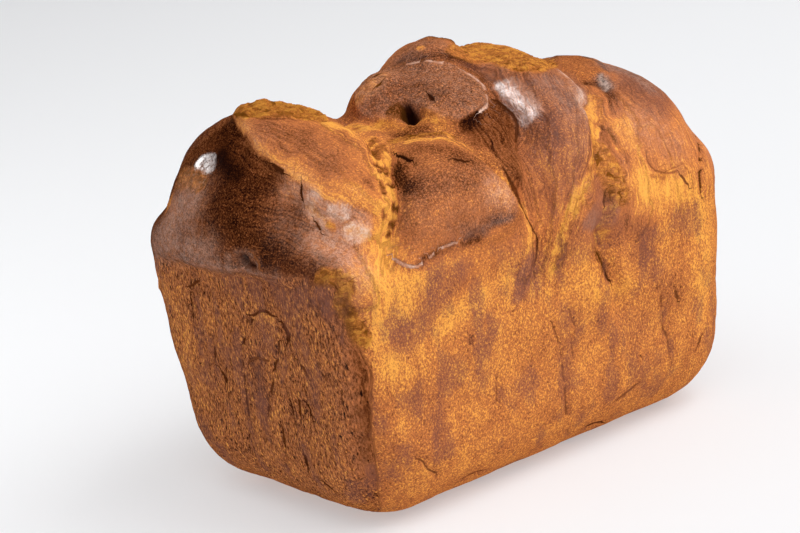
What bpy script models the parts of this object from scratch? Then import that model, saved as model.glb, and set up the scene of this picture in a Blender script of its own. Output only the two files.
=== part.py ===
# Brioche loaf from a tapered tin: straight sides under a risen top of three
# lobes, with folded flaps of dough, torn seams and one burst bubble.
# Metres, +Z up. +X runs along the loaf, and the dark near end is at -X.

import math

import bmesh
import bpy
import numpy as np
from mathutils import Matrix

# Tin-shaped lower part
RIM_LENGTH = 0.170
RIM_WIDTH = 0.118
RIM_HEIGHT = 0.080
END_TAPER = math.radians(3.6)
SIDE_TAPER = math.radians(4.8)
CORNER_RADIUS = 0.022
NEAR_CORNER_RADIUS = 0.011
NEAR_CORNER_SPREAD = (0.012, 0.045)
FOOT_RADIUS = 0.025
TAPER_FADE = 0.030
BASE_TOP = 0.092
BASE_TOP_ROUNDING = 0.016
WALL_ROUNDING = 0.006
LOWEST_ROUNDING = 0.003

# Risen lobes and flaps, joined in this order. Each is a rounded block: centre,
# half sizes, turn in degrees about Z then Y then X, squareness, width of the
# blend into what is below, overhang past the tin walls, and lowest height.
LOBES = {
    "near_cap": dict(
        centre=(-0.0585, 0.006, 0.076),
        half=(0.0322, 0.0540, 0.0500),
        turn=(-8, 0, 0),
        power=2.05,
        join=0.004,
        overhang=(0.0045, 0.0025),
        lowest=0.083,
    ),
    "cap_foot": dict(
        centre=(-0.0620, 0.0060, 0.0850),
        half=(0.0266, 0.0555, 0.0125),
        turn=(-4, 0, 0),
        power=2.6,
        join=0.004,
        overhang=(0.0035, 0.0015),
        lowest=0.083,
    ),
    "near_cheek": dict(
        centre=(-0.048, -0.004, 0.074),
        half=(0.0315, 0.056, 0.0490),
        turn=(-16, 0, 0),
        power=2.2,
        join=0.003,
    ),
    "middle_dome": dict(
        centre=(0.027, -0.002, 0.074),
        half=(0.031, 0.0635, 0.0552),
        turn=(-16, 0, 0),
        power=2.2,
        join=0.004,
    ),
    "crown": dict(
        centre=(0.005, 0.001, 0.0995),
        half=(0.024, 0.030, 0.036),
        turn=(-16, 0, 0),
        power=2.0,
        join=0.005,
    ),
    "skirt": dict(
        centre=(-0.001, -0.006, 0.084),
        half=(0.030, 0.053, 0.039),
        turn=(-16, 0, 0),
        power=2.0,
        join=0.0025,
    ),
    "back_skirt": dict(
        centre=(-0.012, 0.024, 0.080),
        half=(0.028, 0.034, 0.0315),
        turn=(-20, 0, 0),
        power=2.1,
        join=0.003,
    ),
    "disc": dict(
        centre=(-0.0110, -0.0135, 0.1130),
        half=(0.0225, 0.0240, 0.0132),
        turn=(-36.85, 0, 16),
        power=2.6,
        join=0.0020,
    ),
    "disc_flank": dict(
        centre=(-0.0265, -0.0059, 0.1172),
        half=(0.0160, 0.0095, 0.0084),
        turn=(-36.85, -52, 0),
        power=2.0,
        join=0.003,
    ),
    "pillow": dict(
        centre=(-0.038, -0.038, 0.090),
        half=(0.0325, 0.0265, 0.0225),
        turn=(-22, 0, 0),
        power=2.2,
        join=0.002,
        overhang=(0.0, 0.0020),
        lowest=0.083,
    ),
    "shelf": dict(
        centre=(-0.0305, -0.0355, 0.1045),
        half=(0.0190, 0.0165, 0.0098),
        turn=(-36.85, 0, 13),
        power=2.4,
        join=0.003,
    ),
    "far_lobe": dict(
        centre=(0.058, -0.004, 0.070),
        half=(0.0325, 0.0605, 0.0482),
        turn=(-12, 0, 0),
        power=2.4,
        join=0.005,
    ),
}

# Seams and folds pressed into the crust: path, half width and depth
GROOVES = {
    "first_seam": dict(
        path=(
            (-0.0385, -0.0075, 0.1212),
            (-0.044, -0.022, 0.1200),
            (-0.047, -0.036, 0.116),
            (-0.057, -0.053, 0.104),
            (-0.063, -0.057, 0.085),
        ),
        width=0.0040,
        depth=0.0030,
    ),
    "first_seam_back": dict(
        path=(
            (-0.0385, -0.0075, 0.1212),
            (-0.036, 0.008, 0.119),
            (-0.034, 0.026, 0.114),
            (-0.030, 0.050, 0.098),
            (-0.028, 0.058, 0.082),
        ),
        width=0.0050,
        depth=0.0030,
    ),
    "pit_row": dict(
        path=(
            (-0.034, -0.030, 0.1145),
            (-0.028, -0.034, 0.1145),
            (-0.0215, -0.038, 0.113),
        ),
        width=0.0022,
        depth=0.0010,
    ),
    "crevice": dict(
        path=(
            (-0.0215, -0.0385, 0.1125),
            (-0.020, -0.056, 0.104),
            (-0.011, -0.056, 0.094),
        ),
        width=0.0034,
        depth=0.0028,
    ),
    "crevice_foot": dict(
        path=(
            (-0.011, -0.056, 0.094),
            (-0.006, -0.058, 0.082),
            (-0.009, -0.058, 0.066),
        ),
        width=0.0036,
        depth=0.0022,
    ),
    "middle_fold": dict(
        path=(
            (0.003, -0.032, 0.121),
            (0.003, -0.043, 0.111),
            (-0.003, -0.054, 0.099),
            (-0.003, -0.057, 0.086),
        ),
        width=0.0034,
        depth=0.0022,
    ),
    "second_seam": dict(
        path=(
            (0.033, -0.044, 0.111),
            (0.025, -0.056, 0.100),
            (0.022, -0.058, 0.088),
            (0.019, -0.059, 0.072),
        ),
        width=0.0048,
        depth=0.0030,
    ),
    "second_seam_foot": dict(
        path=(
            (0.019, -0.059, 0.072),
            (0.021, -0.058, 0.058),
            (0.025, -0.056, 0.046),
        ),
        width=0.0040,
        depth=0.0022,
    ),
    "second_seam_back": dict(
        path=(
            (0.042, 0.010, 0.118),
            (0.052, 0.038, 0.108),
            (0.056, 0.055, 0.090),
            (0.055, 0.058, 0.070),
        ),
        width=0.0060,
        depth=0.0016,
    ),
    "far_fold": dict(
        path=(
            (0.049, -0.026, 0.117),
            (0.047, -0.038, 0.113),
            (0.042, -0.047, 0.106),
        ),
        width=0.0034,
        depth=0.0018,
    ),
}

# Skin edges where one side of the path stands above the other
STEPS = {
    "cap_edge": dict(
        path=(
            (-0.066, 0.012, 0.1265),
            (-0.071, 0.002, 0.1262),
            (-0.080, -0.027, 0.117),
            (-0.076, -0.048, 0.102),
        ),
        face=(-0.5, -0.4, 0.77),
        height=0.0022,
        width=0.0018,
        upper_reach=0.012,
        lower_reach=0.016,
    ),
    "lip_edge": dict(
        path=(
            (-0.062, -0.058, 0.085),
            (-0.050, -0.059, 0.084),
            (-0.036, -0.060, 0.084),
            (-0.017, -0.059, 0.086),
        ),
        face=(-0.1, -0.98, 0.1),
        height=-0.0008,
        width=0.0015,
        upper_reach=0.008,
        lower_reach=0.008,
    ),
}
STEP_END_SHARE = 0.15

# Torn crumb that stands up in crags: path, half width, rise and crag height
CRESTS = {
    "near_tear": dict(
        path=(
            (-0.070, 0.006, 0.125),
            (-0.063, 0.004, 0.127),
            (-0.056, -0.006, 0.1255),
        ),
        width=0.0048,
        rise=0.0022,
        crag=0.0012,
    ),
    "crown_tear": dict(
        path=(
            (0.006, -0.012, 0.132),
            (0.018, -0.022, 0.128),
            (0.027, -0.032, 0.124),
        ),
        width=0.0075,
        rise=0.0006,
        crag=0.0009,
    ),
    "crown_knob": dict(
        path=(
            (0.001, -0.004, 0.136),
            (0.006, -0.009, 0.135),
        ),
        width=0.0050,
        rise=0.0010,
        crag=0.0004,
    ),
    "corner_flakes": dict(
        path=(
            (-0.082, -0.046, 0.082),
            (-0.079, -0.051, 0.074),
            (-0.075, -0.053, 0.064),
        ),
        width=0.0040,
        rise=0.0006,
        crag=0.0010,
    ),
}
CRAG_LENGTH = 0.0065

# Hollows and dents: centre, half width and depth
HOLLOWS = {
    "bubble_hole": dict(centre=(-0.026, -0.026, 0.121), width=0.0046, depth=0.0075),
    "bubble_shelf": dict(centre=(-0.031, -0.019, 0.120), width=0.0050, depth=0.0012),
    "rim_hole": dict(centre=(-0.088, -0.015, 0.087), width=0.0040, depth=0.0024),
    "cap_dent": dict(centre=(-0.081, 0.001, 0.111), width=0.0100, depth=0.0016),
    "pillow_dent": dict(centre=(-0.050, -0.051, 0.108), width=0.0060, depth=0.0016),
    "back_dent": dict(centre=(0.020, 0.052, 0.112), width=0.0080, depth=0.0014),
}

# Soft unevenness of the whole crust
SWELL_HEIGHT = 0.0005
SWELL_LENGTH = 0.028

# Faces of the surface grid: along, across and up the sides
ALONG = 52
ACROSS = 34
UPWARD = 22
LOW_ROWS = 7

# Plain shell that spreads the grid: a rounded foot, then walls that draw in to
# a flat top of these shares of the length and width
SHELL_FOOT_HEIGHT = 0.052
SHELL_TOP_LENGTH = 0.70
SHELL_TOP_WIDTH = 0.62
SHELL_TOP_HEIGHT = 0.135
SHELL_FOOT_CURVE = 1.5
SHELL_FOOT_SPREAD = 1.6
SHELL_SHOULDER_CURVE = 2.2

# Rays from a spine inside the loaf that carry the grid onto the crust
SPINE_SHARE = 0.60
SPINE_WIDTH_SHARE = 0.25
SPINE_LOW = 0.040
SPINE_HIGH = 0.078
RAY_LENGTH = 0.150
RAY_STEPS = 70
RAY_CAUTION = 0.6

CRUST_COLOUR = (0.33, 0.12, 0.03, 1.0)
CRUST_ROUGHNESS = 0.55


def turned(degrees):
    # Rotation matrix for turns about Z, then Y, then X
    yaw, pitch, roll = (math.radians(angle) for angle in degrees)
    about_z = Matrix.Rotation(yaw, 3, "Z")
    about_y = Matrix.Rotation(pitch, 3, "Y")
    about_x = Matrix.Rotation(roll, 3, "X")
    return np.array(about_z @ about_y @ about_x)


def blended(first, second, width):
    # The smaller of two distances, rounded over this width
    share = np.clip(0.5 + 0.5 * (second - first) / width, 0, 1)
    return second * (1 - share) + first * share - width * share * (1 - share)


def common(first, second, width):
    # The larger of two distances, rounded over this width
    return -blended(-first, -second, width)


def rounded_block(points, centre, half, turn, power):
    # Distance to a superellipsoid, from its level value over its gradient
    half = np.array(half)
    local = np.abs((points - np.array(centre)) @ turned(turn)) / half
    local = np.maximum(local, 1e-6)
    level = (local**power).sum(-1) ** (1 / power)
    gradient = level ** (1 - power) * np.sqrt(((local ** (power - 1) / half) ** 2).sum(-1))
    return (level - 1) / np.maximum(gradient, 1e-9)


def corner_radius(points):
    # One upright corner is sharper than the others and widens down to the foot
    low, high = NEAR_CORNER_SPREAD
    share = np.clip((points[:, 2] - low) / (high - low), 0, 1)
    share = share * share * (3 - 2 * share)
    near = FOOT_RADIUS + (NEAR_CORNER_RADIUS - FOOT_RADIUS) * share
    return np.where((points[:, 0] < 0) & (points[:, 1] < 0), near, CORNER_RADIUS)


def walls(points, overhang=(0.0, 0.0)):
    # Distance to the sloping walls of the tin, upright above the rim
    height = blended(points[:, 2], np.full(len(points), RIM_HEIGHT), TAPER_FADE)
    below = RIM_HEIGHT - height
    half_length = RIM_LENGTH / 2 - below * math.tan(END_TAPER) + overhang[0]
    half_width = RIM_WIDTH / 2 - below * math.tan(SIDE_TAPER) + overhang[1]
    radius = corner_radius(points)
    out_x = np.abs(points[:, 0]) - half_length + radius
    out_y = np.abs(points[:, 1]) - half_width + radius
    outside = np.hypot(np.maximum(out_x, 0), np.maximum(out_y, 0))
    return outside + np.minimum(np.maximum(out_x, out_y), 0) - radius


def tin_block(points):
    # The walls rounded into the flat underside
    side = walls(points) + FOOT_RADIUS
    under = FOOT_RADIUS - points[:, 2]
    outside = np.hypot(np.maximum(side, 0), np.maximum(under, 0))
    return outside + np.minimum(np.maximum(side, under), 0) - FOOT_RADIUS


def path_distance(points, path):
    # Nearest distance to a path, the share along it, the offset from it and
    # the direction of the nearest stretch
    path = np.array(path, float)
    lengths = np.linalg.norm(np.diff(path, axis=0), axis=1)
    nearest = np.full(len(points), np.inf)
    share = np.zeros(len(points))
    offset = np.zeros(points.shape)
    direction = np.zeros(points.shape)
    passed = 0.0
    for start, end, length in zip(path[:-1], path[1:], lengths):
        along = np.clip((points - start) @ (end - start) / length**2, 0, 1)
        away = points - start - along[:, None] * (end - start)
        distance = np.linalg.norm(away, axis=1)
        closer = distance < nearest
        nearest[closer] = distance[closer]
        share[closer] = (passed + along[closer] * length) / lengths.sum()
        offset[closer] = away[closer]
        direction[closer] = (end - start) / length
        passed += length
    return nearest, share, offset, direction


def waves(points, length):
    # Sum of crossed sine waves, between about -1 and 1
    x, y, z = (points * (2 * math.pi / length)).T
    first = np.sin(x + 1.7 * np.sin(0.63 * y + 0.8) + 0.4 * z)
    second = np.sin(0.83 * y - 1.3 * np.sin(0.71 * z + 0.3) + 1.9)
    third = np.sin(1.19 * z + 1.1 * np.sin(0.57 * x + 2.1) - 0.5 * y)
    return (first + second + third) / 3


def relief(points):
    # Outward height of seams, skin edges, crags, hollows and soft swells
    height = SWELL_HEIGHT * waves(points, SWELL_LENGTH)
    for groove in GROOVES.values():
        distance = path_distance(points, groove["path"])[0]
        height = height - groove["depth"] * np.exp(-((distance / groove["width"]) ** 2))
    for step in STEPS.values():
        distance, share, offset, direction = path_distance(points, step["path"])
        side = (offset * np.cross(direction, step["face"])).sum(-1)
        reach = np.where(side > 0, step["lower_reach"], step["upper_reach"])
        ends = np.clip(np.minimum(share, 1 - share) / STEP_END_SHARE, 0, 1)
        edge = np.tanh(side / step["width"]) * np.exp(-((distance / reach) ** 2))
        height = height - step["height"] * edge * ends * ends * (3 - 2 * ends)
    for crest in CRESTS.values():
        distance = path_distance(points, crest["path"])[0]
        crags = crest["rise"] + crest["crag"] * waves(points, CRAG_LENGTH)
        height = height + crags * np.exp(-((distance / crest["width"]) ** 2))
    for hollow in HOLLOWS.values():
        distance = np.linalg.norm(points - np.array(hollow["centre"]), axis=1)
        height = height - hollow["depth"] * np.exp(-((distance / hollow["width"]) ** 2))
    return height


def crust(points):
    # Distance to the finished crust, negative inside the loaf
    distance = common(tin_block(points), points[:, 2] - BASE_TOP, BASE_TOP_ROUNDING)
    for lobe in LOBES.values():
        block = rounded_block(points, lobe["centre"], lobe["half"], lobe["turn"], lobe["power"])
        block = common(block, walls(points, lobe.get("overhang", (0.0, 0.0))), WALL_ROUNDING)
        if "lowest" in lobe:
            block = common(block, lobe["lowest"] - points[:, 2], LOWEST_ROUNDING)
        distance = blended(distance, block, lobe["join"])
    fade = np.clip(points[:, 2] / FOOT_RADIUS, 0, 1)
    return distance - relief(points) * fade


def shell_point(cube):
    # Point of a plain shell around the loaf for a point of the unit cube
    u, v, w = cube
    flat_length = RIM_LENGTH / 2 - RIM_HEIGHT * math.tan(END_TAPER) - FOOT_RADIUS
    flat_width = RIM_WIDTH / 2 - RIM_HEIGHT * math.tan(SIDE_TAPER) - FOOT_RADIUS
    row = (w + 1) / 2 * UPWARD
    if row <= LOW_ROWS:
        rise = row / LOW_ROWS
        turn = rise * math.pi / 2
        out = FOOT_RADIUS * math.sin(min(SHELL_FOOT_SPREAD * turn, math.pi / 2))
        height = SHELL_FOOT_HEIGHT * rise**SHELL_FOOT_CURVE
    else:
        rise = (row - LOW_ROWS) / (UPWARD - LOW_ROWS)
        out = FOOT_RADIUS
        climb = SHELL_TOP_HEIGHT - SHELL_FOOT_HEIGHT
        height = SHELL_FOOT_HEIGHT + climb * math.sin(rise * math.pi / 2)
    narrow = max(0.0, (row - LOW_ROWS) / (UPWARD - LOW_ROWS)) ** SHELL_SHOULDER_CURVE
    length = (flat_length + out) * (1 - narrow * (1 - SHELL_TOP_LENGTH))
    width = (flat_width + out) * (1 - narrow * (1 - SHELL_TOP_WIDTH))
    return (u * length, v * width, height)


def grid_cube(name):
    # Unit cube whose faces carry the surface grid, with one face underneath
    levels = [
        [2 * step / count - 1 for step in range(count + 1)]
        for count in (ALONG, ACROSS, UPWARD)
    ]
    mesh = bmesh.new()
    corners = {}

    def corner(*index):
        if index not in corners:
            corners[index] = mesh.verts.new([levels[axis][k] for axis, k in enumerate(index)])
        return corners[index]

    for i in range(ALONG):
        for j in range(ACROSS):
            mesh.faces.new(
                (
                    corner(i, j, UPWARD),
                    corner(i + 1, j, UPWARD),
                    corner(i + 1, j + 1, UPWARD),
                    corner(i, j + 1, UPWARD),
                )
            )
    rim = [(i, 0) for i in range(ALONG)]
    rim += [(ALONG, j) for j in range(ACROSS)]
    rim += [(i, ACROSS) for i in range(ALONG, 0, -1)]
    rim += [(0, j) for j in range(ACROSS, 0, -1)]
    for here, beyond in zip(rim, rim[1:] + rim[:1]):
        for k in range(UPWARD):
            low = (corner(*here, k), corner(*beyond, k))
            high = (corner(*beyond, k + 1), corner(*here, k + 1))
            mesh.faces.new(low + high)
    mesh.faces.new([corner(*here, 0) for here in reversed(rim)])
    data = bpy.data.meshes.new(name)
    mesh.to_mesh(data)
    mesh.free()
    return data


def on_crust(shell):
    # Each shell point moved along a ray from the loaf's spine onto the crust
    spine = shell * (SPINE_SHARE, SPINE_WIDTH_SHARE, 1.0)
    spine[:, 2] = np.clip(shell[:, 2], SPINE_LOW, SPINE_HIGH)
    ray = shell - spine
    ray /= np.linalg.norm(ray, axis=1, keepdims=True)
    reach = np.full(len(shell), RAY_LENGTH)
    for _ in range(RAY_STEPS):
        reach = reach - RAY_CAUTION * crust(spine + ray * reach[:, None])
    return spine + ray * reach[:, None]


def loaf():
    data = grid_cube("brioche_loaf")
    cube = np.empty(len(data.vertices) * 3)
    data.vertices.foreach_get("co", cube)
    cube = cube.reshape(-1, 3)
    shell = np.array([shell_point(point) for point in cube])
    surface = on_crust(shell)
    underneath = cube[:, 2] < -0.999
    surface[underneath] = shell[underneath]
    surface[:, :2] -= (surface[:, :2].max(0) + surface[:, :2].min(0)) / 2
    data.vertices.foreach_set("co", surface.ravel())
    data.update()
    data.shade_smooth()
    loaf_object = bpy.data.objects.new("brioche_loaf", data)
    bpy.context.scene.collection.objects.link(loaf_object)
    return loaf_object


def browned_crust():
    material = bpy.data.materials.new("browned_crust")
    material.use_nodes = True
    shader = material.node_tree.nodes["Principled BSDF"]
    shader.inputs["Base Color"].default_value = CRUST_COLOUR
    shader.inputs["Roughness"].default_value = CRUST_ROUGHNESS
    return material


for old in list(bpy.data.objects):
    bpy.data.objects.remove(old, do_unlink=True)
loaf().data.materials.append(browned_crust())
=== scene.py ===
import itertools
import math
from functools import partial

import bpy
import numpy as np
from mathutils import Matrix


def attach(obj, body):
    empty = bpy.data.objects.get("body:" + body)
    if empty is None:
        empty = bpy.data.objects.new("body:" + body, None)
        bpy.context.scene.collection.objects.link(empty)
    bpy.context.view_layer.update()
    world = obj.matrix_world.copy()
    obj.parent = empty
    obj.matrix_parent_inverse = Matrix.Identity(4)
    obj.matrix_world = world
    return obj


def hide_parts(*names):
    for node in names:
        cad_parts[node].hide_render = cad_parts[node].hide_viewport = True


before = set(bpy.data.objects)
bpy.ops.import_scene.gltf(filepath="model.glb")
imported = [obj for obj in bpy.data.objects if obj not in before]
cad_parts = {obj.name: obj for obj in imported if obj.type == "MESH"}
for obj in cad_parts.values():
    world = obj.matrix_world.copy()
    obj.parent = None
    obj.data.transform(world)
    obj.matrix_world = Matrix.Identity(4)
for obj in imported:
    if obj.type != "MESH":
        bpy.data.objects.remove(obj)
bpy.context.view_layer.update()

# A brioche loaf from a tapered tin. The solid's own form is worked out again here on a
# much finer grid, then crusts, seams, torn crumb and pores are laid over it.


def smoothStep(value, start, end):
    # 0 before start, 1 after end, eased between
    share = np.clip((value - start) / (end - start), 0, 1)
    return share * share * (3 - 2 * share)


def millimetres(places):
    # Points in metres from text in millimetres, a point as x,y,z and spaces between points
    return np.array([place.split(",") for place in places.split()], float) / 1000


def addNode(tree, kind, name, inputs=None, **settings):
    # A node with its settings; an input is a value or another node's output
    item = tree.nodes.new(kind)
    item.name = item.label = name
    for key, value in settings.items():
        setattr(item, key, value)
    for key, value in (inputs or {}).items():
        if isinstance(value, bpy.types.NodeSocket):
            tree.links.new(value, item.inputs[key])
        else:
            item.inputs[key].default_value = value
    return item


# Camera, at the photograph's angle: degrees, then metres, then pixels

photoView = {
    "azimuth": -36.85,
    "elevation": 14.34,
    "roll": -7.96,
    "distance": 0.680,
    "rightward": -0.0229,
    "upward": 0.0578,
    "focal": 2000,
    "width": 800,
    "height": 533,
    "sensor": 36,
    "centring": (0.00136, 0.00053, 0.0),  # from the form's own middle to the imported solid's
}


def lookingAxes(azimuth, elevation):
    # Right, up and back of what looks at the loaf: back from the two angles, right level
    azimuth, elevation = math.radians(azimuth), math.radians(elevation)
    flat = math.cos(elevation)
    back = np.array([math.sin(azimuth) * flat, -math.cos(azimuth) * flat, math.sin(elevation)])
    right = np.cross((0, 0, 1), back)
    right /= np.linalg.norm(right)
    return right, np.cross(back, right), back


def viewAxes(view):
    # Right, up and back of the camera, the first two rolled about the third
    right, up, back = lookingAxes(view["azimuth"], view["elevation"])
    cosine, sine = math.cos(math.radians(view["roll"])), math.sin(math.radians(view["roll"]))
    return right * cosine + up * sine, up * cosine - right * sine, back


def viewPlace(view):
    # Back from the middle of the loaf's foot, then aside and up
    right, up, back = viewAxes(view)
    return back * view["distance"] + right * view["rightward"] + up * view["upward"]


def standAt(item, right, up, back, place):
    # The three axes and the place are the columns of the object's matrix
    matrix = np.eye(4)
    matrix[:3] = np.stack([right, up, back, place], 1)
    item.matrix_world = Matrix(matrix.tolist())
    bpy.context.scene.collection.objects.link(item)


def makeCamera(view):
    # The lens is the focal length in pixels, scaled by the sensor's millimetres a pixel
    camera = bpy.data.objects.new("photoCamera", bpy.data.cameras.new("photoCamera"))
    camera.data.sensor_width = view["sensor"]
    camera.data.lens = view["focal"] * view["sensor"] / view["width"]
    standAt(camera, *viewAxes(view), viewPlace(view) + np.array(view["centring"]))
    bpy.context.scene.camera = camera


makeCamera(photoView)

# Floor and lights

stageSet = {
    "floorSize": 14.0,
    "floorColour": (0.50, 0.503, 0.512, 1),
    # painted light: the floor glows so that its shade near the loaf is lifted
    "floorGlow": (0.375, 0.375, 0.38, 1),  # the photograph's floor is nearly white up to the loaf
    "floorRoughness": 0.8,
    "floorSpecular": 0.2,
    "lowSky": (0.90, 0.905, 0.92, 1),  # pale surroundings near the horizon
    "highSky": (0.58, 0.585, 0.59, 1),  # darker room overhead
    "skyFade": (0.25, 0.75),  # sines of the heights between which one turns to the other
    "shinyShare": 0.10,  # how much of the surroundings shows in the glossy crust
    "softShare": 0.52,  # how much of the surroundings lights the scene
    "aimHeight": 0.07,  # what the panels face
}

# Degrees, metres and watts; glossy or diffuse is False where a panel leaves that out
lights = {
    "keyPanel": {"azimuth": 44, "elevation": 46, "distance": 3.4, "size": 3.2, "power": 96},
    "fillPanel": {
        "azimuth": -25, "elevation": 50, "distance": 3.4, "size": 3.2, "power": 54, "glossy": False,
    },
    "capPanel": {
        "azimuth": -158, "elevation": 22, "distance": 1.0, "size": 0.50, "power": 19, "diffuse": False,
    },
    "domePanel": {
        "azimuth": -114, "elevation": 57, "distance": 1.0, "size": 0.90, "power": 52, "diffuse": False,
    },
}


def makeFloor(stage):
    # One large square that glows as well as catches light
    half = stage["floorSize"] / 2
    mesh = bpy.data.meshes.new("floor")
    corners = [(-half, -half, 0), (half, -half, 0), (half, half, 0), (-half, half, 0)]
    mesh.from_pydata(corners, [], [(0, 1, 2, 3)])
    floor = bpy.data.objects.new("floor", mesh)
    bpy.context.scene.collection.objects.link(floor)
    material = bpy.data.materials.new("paleFloor")
    material.use_nodes = True
    shader = material.node_tree.nodes["Principled BSDF"]
    shader.inputs["Base Color"].default_value = stage["floorColour"]
    shader.inputs["Roughness"].default_value = stage["floorRoughness"]
    shader.inputs["Specular IOR Level"].default_value = stage["floorSpecular"]
    shader.inputs["Emission Color"].default_value = stage["floorGlow"]
    shader.inputs["Emission Strength"].default_value = 1
    mesh.materials.append(material)


def makeLight(name, light, stage):
    # A square panel on a sphere round the loaf, facing its middle
    panel = bpy.data.objects.new(name, bpy.data.lights.new(name, "AREA"))
    panel.data.shape = "SQUARE"
    panel.data.size = light["size"]
    panel.data.energy = light["power"]
    panel.visible_diffuse = light.get("diffuse", True)
    panel.visible_glossy = light.get("glossy", True)
    axes = lookingAxes(light["azimuth"], light["elevation"])
    standAt(panel, *axes, axes[2] * light["distance"] + (0, 0, stage["aimHeight"]))


def makeSurroundings(stage):
    # Pale below and darker above; the crust's shine and the soft light each take only a share
    world = bpy.data.worlds.new("studio")
    world.use_nodes = True
    tree = world.node_tree
    direction = addNode(tree, "ShaderNodeTexCoord", "direction").outputs["Generated"]
    height = addNode(tree, "ShaderNodeSeparateXYZ", "height", {0: direction}).outputs["Z"]
    ends = {"Value": height, "From Min": stage["skyFade"][0], "From Max": stage["skyFade"][1]}
    fade = addNode(tree, "ShaderNodeMapRange", "fade", ends, interpolation_type="SMOOTHSTEP")
    colours = {0: fade.outputs["Result"], 6: stage["lowSky"], 7: stage["highSky"]}
    sky = addNode(tree, "ShaderNodeMix", "sky", colours, data_type="RGBA").outputs[2]
    rays = addNode(tree, "ShaderNodeLightPath", "rays")
    shares = []
    for ray, share in (("Is Glossy Ray", "shinyShare"), ("Is Diffuse Ray", "softShare")):
        inputs = {"Value": rays.outputs[ray], "To Min": 1, "To Max": stage[share]}
        shares.append(addNode(tree, "ShaderNodeMapRange", share, inputs).outputs["Result"])
    shares = dict(enumerate(shares))
    strength = addNode(tree, "ShaderNodeMath", "strength", shares, operation="MULTIPLY")
    tree.links.new(strength.outputs[0], tree.nodes["Background"].inputs["Strength"])
    tree.links.new(sky, tree.nodes["Background"].inputs["Color"])
    bpy.context.scene.world = world
    bpy.context.scene.view_settings.view_transform = "Standard"
    bpy.context.scene.view_settings.look = "None"


makeFloor(stageSet)
makeSurroundings(stageSet)
for name, light in lights.items():
    makeLight(name, light, stageSet)
print("camera, floor and lights")

# Form of the loaf: tin part and risen lobes

tin = {
    "rimLength": 0.170,
    "rimWidth": 0.118,
    "rimHeight": 0.080,
    "endTaper": math.radians(3.6),
    "sideTaper": math.radians(4.8),
    "cornerRadius": 0.022,
    "nearCornerRadius": 0.011,
    "nearCornerSpread": (0.012, 0.045),
    "footRadius": 0.025,
    "taperFade": 0.030,
    "baseTop": 0.092,
    "baseTopRounding": 0.016,
    "wallRounding": 0.006,
    "lowestRounding": 0.003,
}


def newLobe(centre, half, turn, power, join, overhang=(0, 0), lowest=0):
    # A rounded block's values in metres and its spin, from millimetres and degrees; join is the
    # width of its blend, overhang how far it stands past the walls, lowest where it is cut off
    angles = zip(turn, "ZYX")
    aboutZ, aboutY, aboutX = (Matrix.Rotation(math.radians(angle), 3, axis) for angle, axis in angles)
    spin = aboutZ @ aboutY @ aboutX
    return {
        "centre": np.array(centre) / 1000, "half": np.array(half) / 1000, "spin": np.array(spin),
        "power": power, "join": join / 1000, "overhang": np.array(overhang) / 1000, "lowest": lowest / 1000,
    }


# Joined in this order
lobes = dict(
    nearCap=newLobe((-58.5, 6, 76), (32.2, 54, 50), (-8, 0, 0), 2.05, 4, (4.5, 2.5), 83),
    capFoot=newLobe((-62, 6, 85), (26.6, 55.5, 12.5), (-4, 0, 0), 2.6, 4, (3.5, 1.5), 83),
    nearCheek=newLobe((-48, -4, 74), (31.5, 56, 49), (-16, 0, 0), 2.2, 3),
    middleDome=newLobe((27, -2, 74), (31, 63.5, 55.2), (-16, 0, 0), 2.2, 4),
    crown=newLobe((5, 1, 99.5), (24, 30, 36), (-16, 0, 0), 2, 5),
    skirt=newLobe((-1, -6, 84), (30, 53, 39), (-16, 0, 0), 2, 2.5),
    backSkirt=newLobe((-12, 24, 80), (28, 34, 31.5), (-20, 0, 0), 2.1, 3),
    disc=newLobe((-11, -13.5, 113), (22.5, 24, 13.2), (-36.85, 0, 16), 2.6, 2),
    discFlank=newLobe((-26.5, -5.9, 117.2), (16, 9.5, 8.4), (-36.85, -52, 0), 2, 3),
    pillow=newLobe((-38, -38, 90), (32.5, 26.5, 22.5), (-22, 0, 0), 2.2, 2, (0, 2), 83),
    shelf=newLobe((-30.5, -35.5, 104.5), (19, 16.5, 9.8), (-36.85, 0, 13), 2.4, 3),
    farLobe=newLobe((58, -4, 70), (32.5, 60.5, 48.2), (-12, 0, 0), 2.4, 5),
)


def blended(first, second, width):
    # The smaller of two distances, rounded over this width
    share = np.clip(0.5 + 0.5 * (second - first) / width, 0, 1)
    return second * (1 - share) + first * share - width * share * (1 - share)


def common(first, second, width):
    # The larger of two distances, rounded over this width
    return -blended(-first, -second, width)


def roundedBlock(points, lobe):
    # Superellipsoid: the level of its power sum, less one, over the level's own slope
    half, power = lobe["half"], lobe["power"]
    local = np.maximum(np.abs((points - lobe["centre"]) @ lobe["spin"]) / half, 1e-6)
    lifted = local ** (power - 1)
    level = (lifted * local).sum(-1) ** (1 / power)
    slope = level ** (1 - power) * np.sqrt(((lifted / half) ** 2).sum(-1))
    return (level - 1) / np.maximum(slope, 1e-9)


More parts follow.
